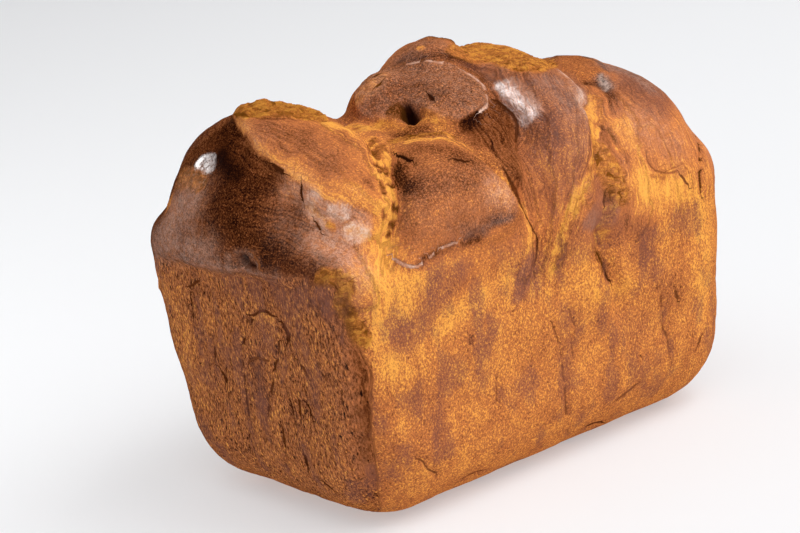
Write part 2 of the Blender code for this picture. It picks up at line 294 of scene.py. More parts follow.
def tinWalls(points, overhang=(0.0, 0.0)):
    # Rounded rectangle that narrows downwards by the tin's tapers, upright above the rim;
    # one upright corner is sharper than the others and widens down to the foot
    height = blended(points[:, 2], np.full(len(points), tin["rimHeight"]), tin["taperFade"])
    below = tin["rimHeight"] - height
    halfLength = tin["rimLength"] / 2 - below * math.tan(tin["endTaper"]) + overhang[0]
    halfWidth = tin["rimWidth"] / 2 - below * math.tan(tin["sideTaper"]) + overhang[1]
    low, high = tin["nearCornerSpread"]
    widened = (tin["footRadius"] - tin["nearCornerRadius"]) * (1 - smoothStep(points[:, 2], low, high))
    nearCorner = (points[:, 0] < 0) & (points[:, 1] < 0)
    radius = np.where(nearCorner, tin["nearCornerRadius"] + widened, tin["cornerRadius"])
    outX = np.abs(points[:, 0]) - halfLength + radius
    outY = np.abs(points[:, 1]) - halfWidth + radius
    outside = np.hypot(np.maximum(outX, 0), np.maximum(outY, 0))
    return outside + np.minimum(np.maximum(outX, outY), 0) - radius


def tinBlock(points):
    # The walls rounded into the flat underside
    side = tinWalls(points) + tin["footRadius"]
    under = tin["footRadius"] - points[:, 2]
    outside = np.hypot(np.maximum(side, 0), np.maximum(under, 0))
    return outside + np.minimum(np.maximum(side, under), 0) - tin["footRadius"]


def loafForm(points, kept=None):
    # Distance to the loaf: tin block and lobes, each lobe held inside the walls, joined in turn
    distance = common(tinBlock(points), points[:, 2] - tin["baseTop"], tin["baseTopRounding"])
    plainWalls = tinWalls(points)
    for name, lobe in lobes.items():
        block = roundedBlock(points, lobe)
        walls = tinWalls(points, lobe["overhang"]) if lobe["overhang"].any() else plainWalls
        block = common(block, walls, tin["wallRounding"])
        if lobe["lowest"]:
            block = common(block, lobe["lowest"] - points[:, 2], tin["lowestRounding"])
        if kept is not None:
            kept[name] = block
        distance = blended(distance, block, lobe["join"])
    return distance


def formNormals(points, reach=0.0005):
    # Slope of the distance from four points of a small tetrahedron
    total = np.zeros(points.shape)
    for corner in ((1, 1, 1), (1, -1, -1), (-1, 1, -1), (-1, -1, 1)):
        total += np.array(corner) * loafForm(points + np.array(corner) * reach)[:, None]
    return total / np.linalg.norm(total, axis=1, keepdims=True)


# Grid that carries the surface

surfaceGrid = {
    "along": 172,
    "across": 118,
    "upward": 126,
    "lowRows": 44,
    "shellFoot": 0.052,
    "shellTop": 0.135,
    "topLength": 0.78,
    "topWidth": 0.72,
    "footCurve": 1.5,
    "footSpread": 1.6,
    "shoulderCurve": 2.2,
    "spineShare": 0.60,
    "spineWidthShare": 0.25,
    "spineLow": 0.040,
    "spineHigh": 0.078,
    "rayLength": 0.125,
    "raySteps": 46,
    "rayCaution": 0.75,
    "rayClose": 1e-6,
}


def shellRows(grid):
    # Row by row, length, width and height of a plain shell: a rounded foot, then walls drawn in
    row = np.arange(grid["upward"] + 1, dtype=float)
    foot = np.clip(row / grid["lowRows"], 0, 1)
    rise = np.clip((row - grid["lowRows"]) / (grid["upward"] - grid["lowRows"]), 0, 1)
    turn = np.minimum(grid["footSpread"] * foot * math.pi / 2, math.pi / 2)
    out = tin["footRadius"] * np.sin(turn)
    height = grid["shellFoot"] * foot ** grid["footCurve"]
    height += (grid["shellTop"] - grid["shellFoot"]) * np.sin(rise * math.pi / 2)
    narrow = rise ** grid["shoulderCurve"]
    flatLength = tin["rimLength"] / 2 - tin["rimHeight"] * math.tan(tin["endTaper"]) - tin["footRadius"]
    flatWidth = tin["rimWidth"] / 2 - tin["rimHeight"] * math.tan(tin["sideTaper"]) - tin["footRadius"]
    length = (flatLength + out) * (1 - narrow * (1 - grid["topLength"]))
    width = (flatWidth + out) * (1 - narrow * (1 - grid["topWidth"]))
    return length, width, height


def shellGrid(grid):
    # Points of the shell and its faces: rings up the sides, a level grid on top, one face underneath
    along, across, upward = grid["along"], grid["across"], grid["upward"]
    u = np.linspace(-1, 1, along + 1)
    v = np.linspace(-1, 1, across + 1)
    ring = np.concatenate([
        np.stack([u[:-1], np.full(along, -1.0)], 1),
        np.stack([np.full(across, 1.0), v[:-1]], 1),
        np.stack([u[:0:-1], np.full(along, 1.0)], 1),
        np.stack([np.full(across, -1.0), v[:0:-1]], 1),
    ])
    length, width, height = shellRows(grid)
    count = len(ring)
    sides = np.empty((upward, count, 3))
    sides[:, :, 0] = ring[None, :, 0] * length[:-1, None]
    sides[:, :, 1] = ring[None, :, 1] * width[:-1, None]
    sides[:, :, 2] = height[:-1, None]
    top = np.empty((along + 1, across + 1, 3))
    top[:, :, 0] = u[:, None] * length[-1]
    top[:, :, 1] = v[None, :] * width[-1]
    top[:, :, 2] = height[-1]
    points = np.concatenate([sides.reshape(-1, 3), top.reshape(-1, 3)])
    topIndex = upward * count + np.arange((along + 1) * (across + 1)).reshape(along + 1, across + 1)
    topRing = np.concatenate([topIndex[:-1, 0], topIndex[-1, :-1], topIndex[:0:-1, -1], topIndex[0, :0:-1]])
    rows = np.concatenate([np.arange(upward * count).reshape(upward, count), topRing[None, :]])
    beyond = np.roll(rows, -1, axis=1)
    sideFaces = np.stack([rows[:-1], beyond[:-1], beyond[1:], rows[1:]], -1).reshape(-1, 4)
    corners = topIndex[:-1, :-1], topIndex[1:, :-1], topIndex[1:, 1:], topIndex[:-1, 1:]
    topFaces = np.stack(corners, -1).reshape(-1, 4)
    underneath = np.arange(count)[::-1]
    return points, np.concatenate([sideFaces, topFaces]), underneath


def ontoForm(shell, grid):
    # Each shell point carried along the ray from the loaf's spine, from outside in, to the form
    spine = shell * (grid["spineShare"], grid["spineWidthShare"], 1.0)
    spine[:, 2] = np.clip(shell[:, 2], grid["spineLow"], grid["spineHigh"])
    ray = shell - spine
    ray /= np.linalg.norm(ray, axis=1, keepdims=True)
    reach = np.full(len(shell), grid["rayLength"])
    moving = np.arange(len(shell))
    for _ in range(grid["raySteps"]):
        gap = loafForm(spine[moving] + ray[moving] * reach[moving, None])
        reach[moving] -= grid["rayCaution"] * gap
        moving = moving[np.abs(gap) > grid["rayClose"]]
        if not len(moving):
            break
    return spine + ray * reach[:, None]


shell, quads, underneath = shellGrid(surfaceGrid)
base = ontoForm(shell, surfaceGrid)
flatFoot = np.arange(len(base)) < len(underneath)
base[flatFoot] = shell[flatFoot]
outward = formNormals(base)
outward[flatFoot] = (0, 0, -1)
print("form of the loaf", len(base), "points")

# Noise, with a seed for each of its uses

seeds = {
    "wander": 3, "rim": 61, "beat": 301, "crags": 7, "crumbPits": 23, "pores": 41, "strands": 71,
    "skin": 83, "rough": 97, "mottle": 101, "clouds": 151, "streaks": 131,
}


def hashed(cells, seed):
    # Fraction left over from a large sine of the cell's place
    mixed = cells @ np.array([12.9898, 78.233, 37.719]) + seed * 4.137
    return np.abs(np.modf(np.sin(mixed) * 43758.5453)[0])


def softNoise(points, length, seed=0):
    # Random values at the corners of a lattice, eased between, from -1 to 1
    place = points / np.array(length)
    cell = np.floor(place)
    part = place - cell
    part = part * part * (3 - 2 * part)
    total = np.zeros(len(points))
    for corner in itertools.product((0, 1), repeat=3):
        weight = np.prod(np.where(corner, part, 1 - part), axis=1)
        total += weight * hashed(cell + corner, seed)
    return total * 2 - 1


def layeredNoise(points, length, layers=3, seed=0):
    # Soft noise summed at halved lengths and heights
    total, height = np.zeros(len(points)), 1.0
    for layer in range(layers):
        total += height * softNoise(points, np.array(length) / 2**layer, seed + 17 * layer)
        height *= 0.5
    return total / (2 - 2 * height)


def ridgedNoise(points, length, layers=3, seed=0):
    # Sharp crests where the soft noise crosses zero, from 0 to 1
    total, height = np.zeros(len(points)), 1.0
    for layer in range(layers):
        total += height * (1 - np.abs(softNoise(points, np.array(length) / 2**layer, seed + 29 * layer)))
        height *= 0.5
    return total / (2 - 2 * height)


def poreNoise(points, spacing, seed=0):
    # Distance to the nearest of one random point in each cell, in cells, and that point's own draw
    place = points / np.array(spacing)
    cell = np.floor(place)
    nearest = np.full(len(points), 9.0)
    draw = np.zeros(len(points))
    for step in itertools.product((-1, 0, 1), repeat=3):
        other = cell + step
        spot = other + np.stack([hashed(other, seed + 3 * axis) for axis in range(3)], 1)
        distance = np.linalg.norm(place - spot, axis=1)
        closer = distance < nearest
        nearest[closer] = distance[closer]
        draw[closer] = hashed(other[closer], seed + 11)
    return nearest, draw


def pathDistance(points, path):
    # Nearest distance to a path, share and length along it, offset from it and its direction there
    path = np.array(path, float)
    if len(path) == 1:
        offset = points - path[0]
        zeros = np.zeros(len(points))
        return np.linalg.norm(offset, axis=1), zeros + 0.5, zeros, offset, np.zeros(points.shape)
    lengths = np.linalg.norm(np.diff(path, axis=0), axis=1)
    nearest = np.full(len(points), np.inf)
    share, run = np.zeros(len(points)), np.zeros(len(points))
    offset, direction = np.zeros(points.shape), np.zeros(points.shape)
    passed = 0.0
    for start, end, length in zip(path[:-1], path[1:], lengths):
        along = np.clip((points - start) @ (end - start) / length**2, 0, 1)
        away = points - start - along[:, None] * (end - start)
        distance = np.linalg.norm(away, axis=1)
        closer = distance < nearest
        nearest[closer] = distance[closer]
        run[closer] = passed + along[closer] * length
        offset[closer] = away[closer]
        direction[closer] = (end - start) / length
        passed += length
    return nearest, run / lengths.sum(), run, offset, direction


def smoothPath(path, steps=6):
    # Catmull-Rom curve through the path's points
    path = np.array(path, float)
    if len(path) < 3:
        return path
    ends = np.concatenate([[2 * path[0] - path[1]], path, [2 * path[-1] - path[-2]]])
    t = np.linspace(0, 1, steps, endpoint=False)[:, None]
    curves = []
    for a, b, c, d in zip(ends[:-3], ends[1:-2], ends[2:-1], ends[3:]):
        curve = 2 * b + (c - a) * t + (2 * a - 5 * b + 4 * c - d) * t**2 + (3 * b - a - 3 * c + d) * t**3
        curves.append(0.5 * curve)
    return np.concatenate(curves + [path[-1:]])


pixelRays = {
    "start": 0.17,  # before the loaf's middle
    "steps": 150,
    "share": 0.7,  # of the distance to the form, taken at each step
    "shortest": 0.0001,
    "longest": 0.02,
}


def pixelsOnForm(pixels, walk):
    # Where the camera's rays through these pixels of the photograph meet the form, or pass nearest it
    right, up, back = viewAxes(photoView)
    pixels = np.array(pixels, float)
    aside = (pixels[:, :1] - photoView["width"] / 2) / photoView["focal"]
    above = (photoView["height"] / 2 - pixels[:, 1:]) / photoView["focal"]
    ray = aside * right + above * up - back
    ray /= np.linalg.norm(ray, axis=1, keepdims=True)
    place = viewPlace(photoView)
    reach = np.full(len(pixels), photoView["distance"] - walk["start"])
    closest, best = np.full(len(pixels), 9.0), reach.copy()
    for _ in range(walk["steps"]):
        gap = loafForm(place + ray * reach[:, None])
        closer = gap < closest
        closest[closer], best[closer] = gap[closer], reach[closer]
        step = np.clip(gap * walk["share"], walk["shortest"], walk["longest"])
        reach = reach + np.where(closest > walk["shortest"], step, 0)
    return place + ray * best[:, None]


# Seams, skin edges, torn crests and hollows that the solid has too


def newRidge(places, width, rise):
    # A path with its half width and its rise, which is below 0 for a groove, from millimetres
    return {"path": millimetres(places), "width": width / 1000, "rise": rise / 1000}


ridges = dict(
    firstSeam=newRidge("-38.5,-7.5,121.2 -44,-22,120 -47,-36,116 -57,-53,104 -63,-57,85", 4, -3),
    firstSeamBack=newRidge("-38.5,-7.5,121.2 -36,8,119 -34,26,114 -30,50,98 -28,58,82", 5, -3),
    pitRow=newRidge("-34,-30,114.5 -28,-34,114.5 -21.5,-38,113", 2.2, -1),
    crevice=newRidge("-21.5,-38.5,112.5 -20,-56,104 -11,-56,94", 3.4, -2.8),
    creviceFoot=newRidge("-11,-56,94 -6,-58,82 -9,-58,66", 3.6, -2.2),
    middleFold=newRidge("3,-32,121 3,-43,111 -3,-54,99 -3,-57,86", 3.4, -2.2),
    secondSeam=newRidge("33,-44,111 25,-56,100 22,-58,88 19,-59,72", 4.8, -3),
    secondSeamFoot=newRidge("19,-59,72 21,-58,58 25,-56,46", 4, -2.2),
    secondSeamBack=newRidge("42,10,118 52,38,108 56,55,90 55,58,70", 6, -1.6),
    farFold=newRidge("49,-26,117 47,-38,113 42,-47,106", 3.4, -1.8),
    nearTear=newRidge("-70,6,125 -63,4,127 -56,-6,125.5", 4.8, 2.2),
    crownTear=newRidge("6,-12,132 18,-22,128 27,-32,124", 7.5, 0.6),
    crownKnob=newRidge("1,-4,136 6,-9,135", 5, 1),
    cornerFlakes=newRidge("-82,-46,82 -79,-51,74 -75,-53,64", 4, 0.6),
)

hollows = dict(
    bubbleHole=newRidge("-26,-26,121", 4, -8),
    bubbleShelf=newRidge("-31,-19,120", 5, -1.2),
    rimHole=newRidge("-88,-15,87", 3, -3),
    capDent=newRidge("-81,1,111", 10, -1.6),
    pillowDent=newRidge("-50,-51,108", 6, -2),
    backDent=newRidge("20,52,112", 8, -1.4),
)

# One side of each of these paths stands above the other
skinEdges = {
    "capEdge": {
        "path": millimetres("-66,12,126.5 -71,2,126.2 -80,-27,117 -76,-48,102"),
        "face": (-0.5, -0.4, 0.77), "height": 0.0022, "width": 0.0012,
        "upperReach": 0.012, "lowerReach": 0.016,
    },
    "lipEdge": {
        "path": millimetres("-62,-58,85 -50,-59,84 -36,-60,84 -17,-59,86"),
        "face": (-0.1, -0.98, 0.1), "height": -0.0008, "width": 0.0012,
        "upperReach": 0.008, "lowerReach": 0.008,
    },
}

skinEdgeFade = 0.15  # share of the path, at either end

swell = {"height": 0.0005, "length": 0.028}

# Wandering of whatever is laid on the crust, as lengths and heights of its two waves
sway = {"coarseLength": 0.0055, "coarse": 0.0009, "fineLength": 0.0022, "fine": 0.0005}


def crossedWaves(points, length):
    # Sum of crossed sine waves, between about -1 and 1
    x, y, z = (points * (2 * math.pi / length)).T
    first = np.sin(x + 1.7 * np.sin(0.63 * y + 0.8) + 0.4 * z)
    second = np.sin(0.83 * y - 1.3 * np.sin(0.71 * z + 0.3) + 1.9)
    third = np.sin(1.19 * z + 1.1 * np.sin(0.57 * x + 2.1) - 0.5 * y)
    return (first + second + third) / 3


def unevenness(points, seed):
    # A wandering offset in metres for each point, so that edges laid on it aren't smooth curves
    coarse = np.stack([softNoise(points, sway["coarseLength"], seed + k) for k in range(3)], 1)
    fine = np.stack([softNoise(points, sway["fineLength"], seed + 5 + k) for k in range(3)], 1)
    return coarse * sway["coarse"] + fine * sway["fine"]


wander = unevenness(base, seeds["wander"])
wandered = base + wander


def solidRelief(points):
    # Outward height of what the solid has too, along paths that wander a little
    height = swell["height"] * crossedWaves(base, swell["length"])
    for ridge in ridges.values():
        distance = pathDistance(points, smoothPath(ridge["path"]))[0]
        height += ridge["rise"] * np.exp(-((distance / ridge["width"]) ** 2))
    for hollow in hollows.values():
        distance = pathDistance(points, hollow["path"])[0]
        height += hollow["rise"] * np.exp(-((distance / hollow["width"]) ** 3))
    for edge in skinEdges.values():
        distance, share, _, offset, direction = pathDistance(base, smoothPath(edge["path"]))
        side = (offset * np.cross(direction, edge["face"])).sum(-1)
        reach = np.where(side > 0, edge["lowerReach"], edge["upperReach"])
        ends = smoothStep(np.minimum(share, 1 - share), 0, skinEdgeFade)
        step = np.tanh(side / edge["width"]) * np.exp(-((distance / reach) ** 2))
        height -= edge["height"] * step * ends
    return height


# Looks of each lobe and side before the marks

# The bake value runs from 0, pale gold crumb, to 1, nearly black, and also carries the painted shade of
# holes, pits, cracks and overhangs; grain is the strength of the fine speckle
crustLooks = {
    "nearCap": {"bake": 0.76, "gloss": 0.12, "grain": 0.55},
    "capFoot": {"bake": 0.74, "gloss": 0.10, "grain": 0.60},
    "nearCheek": {"bake": 0.50, "gloss": 0.20, "grain": 0.60},
    "middleDome": {"bake": 0.60, "gloss": 0.55, "grain": 0.35},
    "crown": {"bake": 0.46, "gloss": 0.15, "grain": 0.60},
    "skirt": {"bake": 0.68, "gloss": 0.30, "grain": 0.60},
    "backSkirt": {"bake": 0.60, "gloss": 0.40, "grain": 0.50},
    "disc": {"bake": 0.62, "gloss": 0.08, "grain": 0.75},
    "discFlank": {"bake": 0.50, "gloss": 0.08, "grain": 0.80},
    "pillow": {"bake": 0.50, "gloss": 0.12, "grain": 0.90},
    "shelf": {"bake": 0.42, "gloss": 0.05, "grain": 1.00},
    "farLobe": {"bake": 0.40, "gloss": 0.38, "grain": 0.40},
}
tinLooks = {
    "side": {"bake": 0.30, "gloss": 0.0, "grain": 0.78},
    "end": {"bake": 0.45, "gloss": 0.0, "grain": 1.15},
    "foot": {"bake": 0.30, "gloss": 0.0, "grain": 0.80},
    "lobeFade": 0.0018,
    "rimLine": 0.0825,
    "rimWave": 0.010,
    "rimWaveLength": 0.018,
    "rimSway": 0.35,
    "endRimFade": 0.0012,
    "sideRimFade": 0.014,
    "endFacing": (0.55, 0.85),
    "underFacing": (-0.75, -0.45),
    "footFade": (0.004, 0.020),
    "footShare": 0.6,
    "lobePore": 0.25,
    "sidePore": 0.50,
    "endPore": 1.00,
}

parts = {}
loafForm(base, parts)
# film is pale peeled skin and also painted sheen and highlights where marks lay it, as bake also holds
# painted shade
fieldNames = "bake", "gloss", "grain", "film", "stain", "crumb", "pore", "fibre", "side"
fields = {key: np.zeros(len(base)) for key in fieldNames}
cuts = {key: np.zeros(len(base)) for key in ("cutBake", "cutFilm", "cutHold")}
farOffset = 8.0  # from a line, in half widths
cuts["cut"] = np.full(len(base), farOffset)
fieldRange = {"cut": (-farOffset, farOffset), "grain": (0, 2), "fibre": (0, 2), "crumb": (0, 2)}
strand = np.zeros((len(base), 3))


def layLooks(looks):
    # Each lobe's looks weighted by how near its own surface is, then the tin's below a rim that is
    # a line at the ends and a wide fade along the sides
    names = list(crustLooks)
    gaps = np.stack([parts[name] for name in names], 1)
    weights = np.exp((gaps.min(axis=1, keepdims=True) - gaps) / looks["lobeFade"])
    weights /= weights.sum(axis=1, keepdims=True)
    endShare = smoothStep(np.abs(outward[:, 0]), *looks["endFacing"])
    fade = looks["sideRimFade"] + (looks["endRimFade"] - looks["sideRimFade"]) * endShare
    height = wandered[:, 2] + looks["rimSway"] * (wander[:, 0] + wander[:, 1])
    height += looks["rimWave"] * softNoise(base, looks["rimWaveLength"], seeds["rim"]) * (1 - endShare)
    low = 1 - smoothStep(height, looks["rimLine"] - fade, looks["rimLine"] + fade)
    low *= smoothStep(-outward[:, 2], *looks["underFacing"])
    footShare = (1 - smoothStep(base[:, 2], *looks["footFade"])) * looks["footShare"]
    for key in ("bake", "gloss", "grain"):
        field = weights @ np.array([crustLooks[name][key] for name in names])
        walls = looks["side"][key] + (looks["end"][key] - looks["side"][key]) * endShare
        walls += (looks["foot"][key] - walls) * footShare
        fields[key] = field + (walls - field) * low
    fields["side"] = low
    wallPore = looks["sidePore"] + (looks["endPore"] - looks["sidePore"]) * endShare
    fields["pore"] = looks["lobePore"] + (wallPore - looks["lobePore"]) * low
    return endShare


endShare = layLooks(tinLooks)
print("looks of lobes and sides")

# Marks placed by pixels of the photograph, as x,y, or by points in millimetres, as x,y,z. The
# number after the places is the half width, and lift is a height, both in millimetres. The other
# values are what the surface turns to under the mark, and hold is how fully it does.


def placed(kind, places, width, lift=0, **looks):
    # Text to numbers, and millimetres to metres
    spots = [tuple(map(float, place.split(","))) for place in places.split()]
    mark = dict(looks, kind=kind, width=width / 1000, lift=lift / 1000)
    if len(spots[0]) == 2:
        mark["pixels"] = spots
    else:
        mark["path"] = smoothPath(np.array(spots) / 1000)
    return mark


# Soft falls off slowly, patch has an edge, line is a crack or rim, area fills an outline; the dark
# bake of cracks, slits and pits is painted shade in them
kinds = "soft", "patch", "line", "area", "strands"
soft, patch, line, area, strands = (partial(placed, kind) for kind in kinds)

areaMarks = dict(
    cheekSkin=area(
        "234,119 241,130 250,144 264,158 284,173 305,187 325,201 346,206 368,210 387,222 390,206 389,188 "
        "383,166 374,148 354,133 331,126 303,122 262,125 242,125", 0.5, bake=0.41, gloss=0.12, grain=0.5,
        lift=0.6),
    capSkin=area(
        "236,121 246,140 262,158 283,175 303,189 300,200 306,214 322,232 345,246 368,262 374,275 352,290 "
        "330,282 300,276 262,274 225,268 185,259 148,249 150,215 172,180 196,148 220,128", 0.7, bake=0.81,
        gloss=0.05, grain=0.55, film=0),
    peelSkin=area(
        "281,185 292,189 303,190 314,187 326,199 341,205 360,211 371,219 372,236 358,246 341,243 323,232 "
        "308,226 299,214 296,202", 0.6, bake=0.49, gloss=0.15, grain=0.4, film=0.28, lift=0.3),
    discSkin=area(
        "353,100 358,89 372,76 392,68 412,64 430,62 449,65 469,74 483,85 489,98 483,107 470,115 456,122 "
        "440,119 424,114 400,120 376,119 358,113", 0.5, bake=0.65, gloss=0.1, grain=0.75, film=0.16,
        lift=0.8),
    skirtSkin=area(
        "489,101 476,113 457,124 468,136 486,149 504,163 517,177 526,188 533,180 530,162 522,146 517,131 "
        "513,116 503,102", 0.8, bake=0.74, gloss=0.12, grain=0.35),
    pillowSkin=area(
        "398,141 420,139 446,139 462,147 478,155 497,168 513,181 519,194 518,207 510,219 494,229 472,239 "
        "449,243 434,250 421,260 408,266 397,262 391,250 396,226 398,200 393,178 391,158", 0.5, bake=0.39,
        gloss=0.12, grain=0.74, lift=0.3),
    domeSkin=area(
        "452,64 470,62 490,68 510,74 535,75 556,70 570,74 584,92 592,112 592,140 588,165 572,195 560,215 "
        "549,225 545,205 537,184 528,165 517,128 510,112 500,96 488,80 468,70", 1, bake=0.56, gloss=0.22,
        grain=0.65, stain=0.3),
    crumbSkin=area(
        "446,54 452,44 466,38 492,38 515,42 536,50 552,58 558,66 545,73 524,72 504,68 486,63 466,60", 0.9,
        bake=0.23, gloss=0, grain=0.6, crumb=1, lift=-0.5),
    farDiscSkin=area(
        "552,58 566,52 584,54 600,62 606,73 597,79 582,79 568,71", 0.5, bake=0.47, gloss=0.1, grain=0.7,
        lift=0.6),
    tearSkin=area(
        "234,119 244,106 258,98 276,99 294,106 314,110 326,117 332,122 322,124 303,121 275,120 259,125 "
        "244,126", 0.5, bake=0.18, gloss=0, crumb=1.5, lift=0.4),
    peelBand=area(
        "300,208 307,204 319,211 331,221 332,231 320,228 306,221", 0.4, bake=0.19, gloss=0.2, grain=0.4,
        film=0.55),
    peelSmall=area(
        "303,190 308,186 317,193 326,199 318,206 306,203", 0.3, bake=0.34, gloss=0.3, grain=0.4,
        film=0.95, lift=0.3),
    peelLarge=area(
        "328,206 340,202 349,210 348,219 337,222 328,215", 0.4, bake=0.42, gloss=0.25, grain=0.4,
        film=0.85),
    # pale peeled skin with a painted highlight, as white film over gloss
    peelPaleAndGlint=area(
        "341,227 350,223 364,225 371,232 369,242 357,244 346,240", 0.4, bake=0.19, gloss=0.7, grain=0.3,
        film=1, lift=0.3),
    cavityTail=area(
        "386,113 390,107 398,105 405,106 405,117 396,120 388,118", 0.4, bake=0.81, gloss=0.2, film=0,
        crumb=0.3),
    # painted shade: the bubble's hole filled with near-black over a shallow dip
    cavityHoleShade=area(
        "402,106 408,103 415,106 418,112 415,118 408,119 402,115", 0.4, bake=1, gloss=0, grain=0, film=0,
        lift=-1),
    endSkin=area(
        "140,250 151,253 178,262 211,269 240,274 265,277 290,277 308,279 329,299 342,320 350,342 363,356 "
        "370,383 371,418 373,445 378,490 376,525 330,520 250,490 190,440 150,330", 0.6, bake=0.49,
        gloss=0, grain=1.15, film=0, side=1, pore=1),
    seam2PatchDark=area(
        "605,199 615,197 620,209 620,220 614,229 601,233 587,229 580,225 593,211", 0.7, bake=0.58,
        gloss=0.1, grain=0.4, film=0.12, stain=0.7),
    seam2PatchLow=area(
        "578,229 592,231 604,235 618,231 624,240 616,248 600,250 588,262 576,268 570,252", 1.2, bake=0.42,
        stain=0.45),
    farPatch=area("642,226 650,224 656,228 656,244 650,262 643,264 640,246", 0.8, bake=0.46, stain=0.6),
    foldPatch=area(
        "524,262 532,252 538,262 536,278 527,292 518,305 516,292", 0.8, bake=0.5, film=0.06, stain=0.75),
    lipPatch=area(
        "452,262 470,256 474,266 462,284 448,300 436,318 424,340 408,352 398,344 408,326 424,308 436,290 "
        "444,274", 1, bake=0.38, stain=0.5),
    farEdgeFilm=area(
        "586,44 612,42 640,50 668,66 690,92 706,120 712,140 704,134 690,112 672,90 650,72 626,62 606,58",
        3, bake=0.5, gloss=0.1, film=0.42, stain=0.75),
    farUpperStain=area(
        "618,70 636,66 656,82 670,102 664,116 648,108 634,92 620,84", 4, bake=0.6, stain=0.75),
    domeRightStain=area(
        "556,78 576,84 588,104 592,128 588,150 576,160 566,140 562,112 554,94", 3.5, bake=0.42, film=0.2,
        stain=0.6),
)

nearLobeMarks = dict(
    capTop=soft(
        "214,132 226,128 236,134 248,152", 6, within="capSkin", bake=0.92, gloss=0, grain=0.5, film=0),
    capGlaze=patch("198,165 205,161", 3.4, bake=0.86, gloss=1, grain=0.1),
    # darkest crust of the cap, with the painted shade of the hollow beside its highlight
    capBlackAndShade=soft("216,150 220,166 230,178", 5, within="capSkin", bake=1, gloss=0, grain=0.1, film=0),
    capRidgeBrown=soft(
        "242,142 258,163 276,179 296,192", 3.4, within="capSkin", bake=0.75, gloss=0, grain=0.5),
    capMiddle=soft("222,205 250,212 282,222", 11, within="capSkin", bake=0.88, gloss=0, grain=0.6),
    # painted sheen of the pale surroundings on the cap's left and lower side, as pale film over light gloss
    capPaintedSheen=soft("164,232 176,212 190,198", 8, within="capSkin", bake=0.62, gloss=0.2, film=0.3),
    capPaintedSheenLow=soft("156,246 182,246 208,250", 6, bake=0.68, gloss=0.2, film=0.26),
    capLowBand=soft("182,258 215,266 245,270 275,273", 2.2, bake=0.72, gloss=0.32, film=0.26),
    capShade=soft("262,260 285,266 310,274", 4.2, within="capSkin", bake=0.98, gloss=0),
    capFrontStreaks=soft(
        "285,225 312,240 342,256", 6, within="capSkin", bake=0.69, gloss=0.05, grain=0.4, film=0.12),
    capFrontPale=soft("318,238 345,255 366,275", 5, bake=0.43, gloss=0.15, film=0.45),
    cheekRidge=soft(
        "241,128 252,140 266,155 286,170 306,184", 3.6, within="cheekSkin", bake=0.17, gloss=0.2),
    cheekBrown=soft("272,130 296,138 322,152 336,166", 5.5, within="cheekSkin", bake=0.61, gloss=0.2),
    cheekGold=soft("286,178 308,190 330,202 358,212", 3, within="cheekSkin", bake=0.13, gloss=0.2),
    cheekRight=soft("332,136 354,154 372,180", 6, within="cheekSkin", bake=0.41, gloss=0.15),
    cheekLowBrown=soft("342,190 364,200 376,212", 3.5, within="cheekSkin", bake=0.23, gloss=0.2),
    cheekScab=patch("368,183", 1.8, bake=0.61, lift=0.4),
    peelShade=soft("288,190 302,194", 4, bake=0.46, gloss=0.15, film=0.25),
    peelFleck=patch("329,226 333,228", 1.2, bake=0.29, film=0, crumb=0.6),
    peelSlit=line("315,222 319,229", 0.8, bake=0.8, lift=-0.5),
    peelCut=line("303,189 302,199", 0.8, bake=0.88, lift=-0.6),
    ridgeNotch=line("276,168 283,173", 1.2, bake=0.85, lift=-0.8),
    capPits=patch("178,181 188,178 196,182", 3.4, bake=0.58, gloss=0.2, crumb=0.9, lift=-0.6),
    capLeftSpecks=patch("168,208 172,200", 1.6, bake=0.32, crumb=0.6),
    # painted shade inside the hole under the rim
    rimHoleShade=patch("237,259 242,262", 1.6, bake=1, gloss=0, grain=0, film=0, lift=-1),
    rimHoleLip=soft("226,257 240,254 252,256 259,262 260,268", 1.1, bake=0.73, film=0.25, lift=0.7),
    nearTearBrown=soft("240,118 249,108 262,103", 2, bake=0.72, film=0.2, crumb=1),
    nearTearSlit=line("242,122 251,123", 1.1, bake=0.97, lift=-1.4),
    nearTearPits=line("247,110 256,112 265,107 275,113", 0.9, bake=0.9, lift=-1),
    nearTearLine=line("276,120 292,119 308,119 322,121", 0.8, bake=0.62, lift=-0.5),
    # painted shade in the right part of the hole under the rim
    rimHoleShadeRight=patch("247,263 254,265", 1.3, bake=1, gloss=0, grain=0, film=0, lift=-1.2),
    rimHoleRidge=line("256,256 261,262 262,270", 0.9, bake=0.55, lift=0.5, hold=0.8),
)

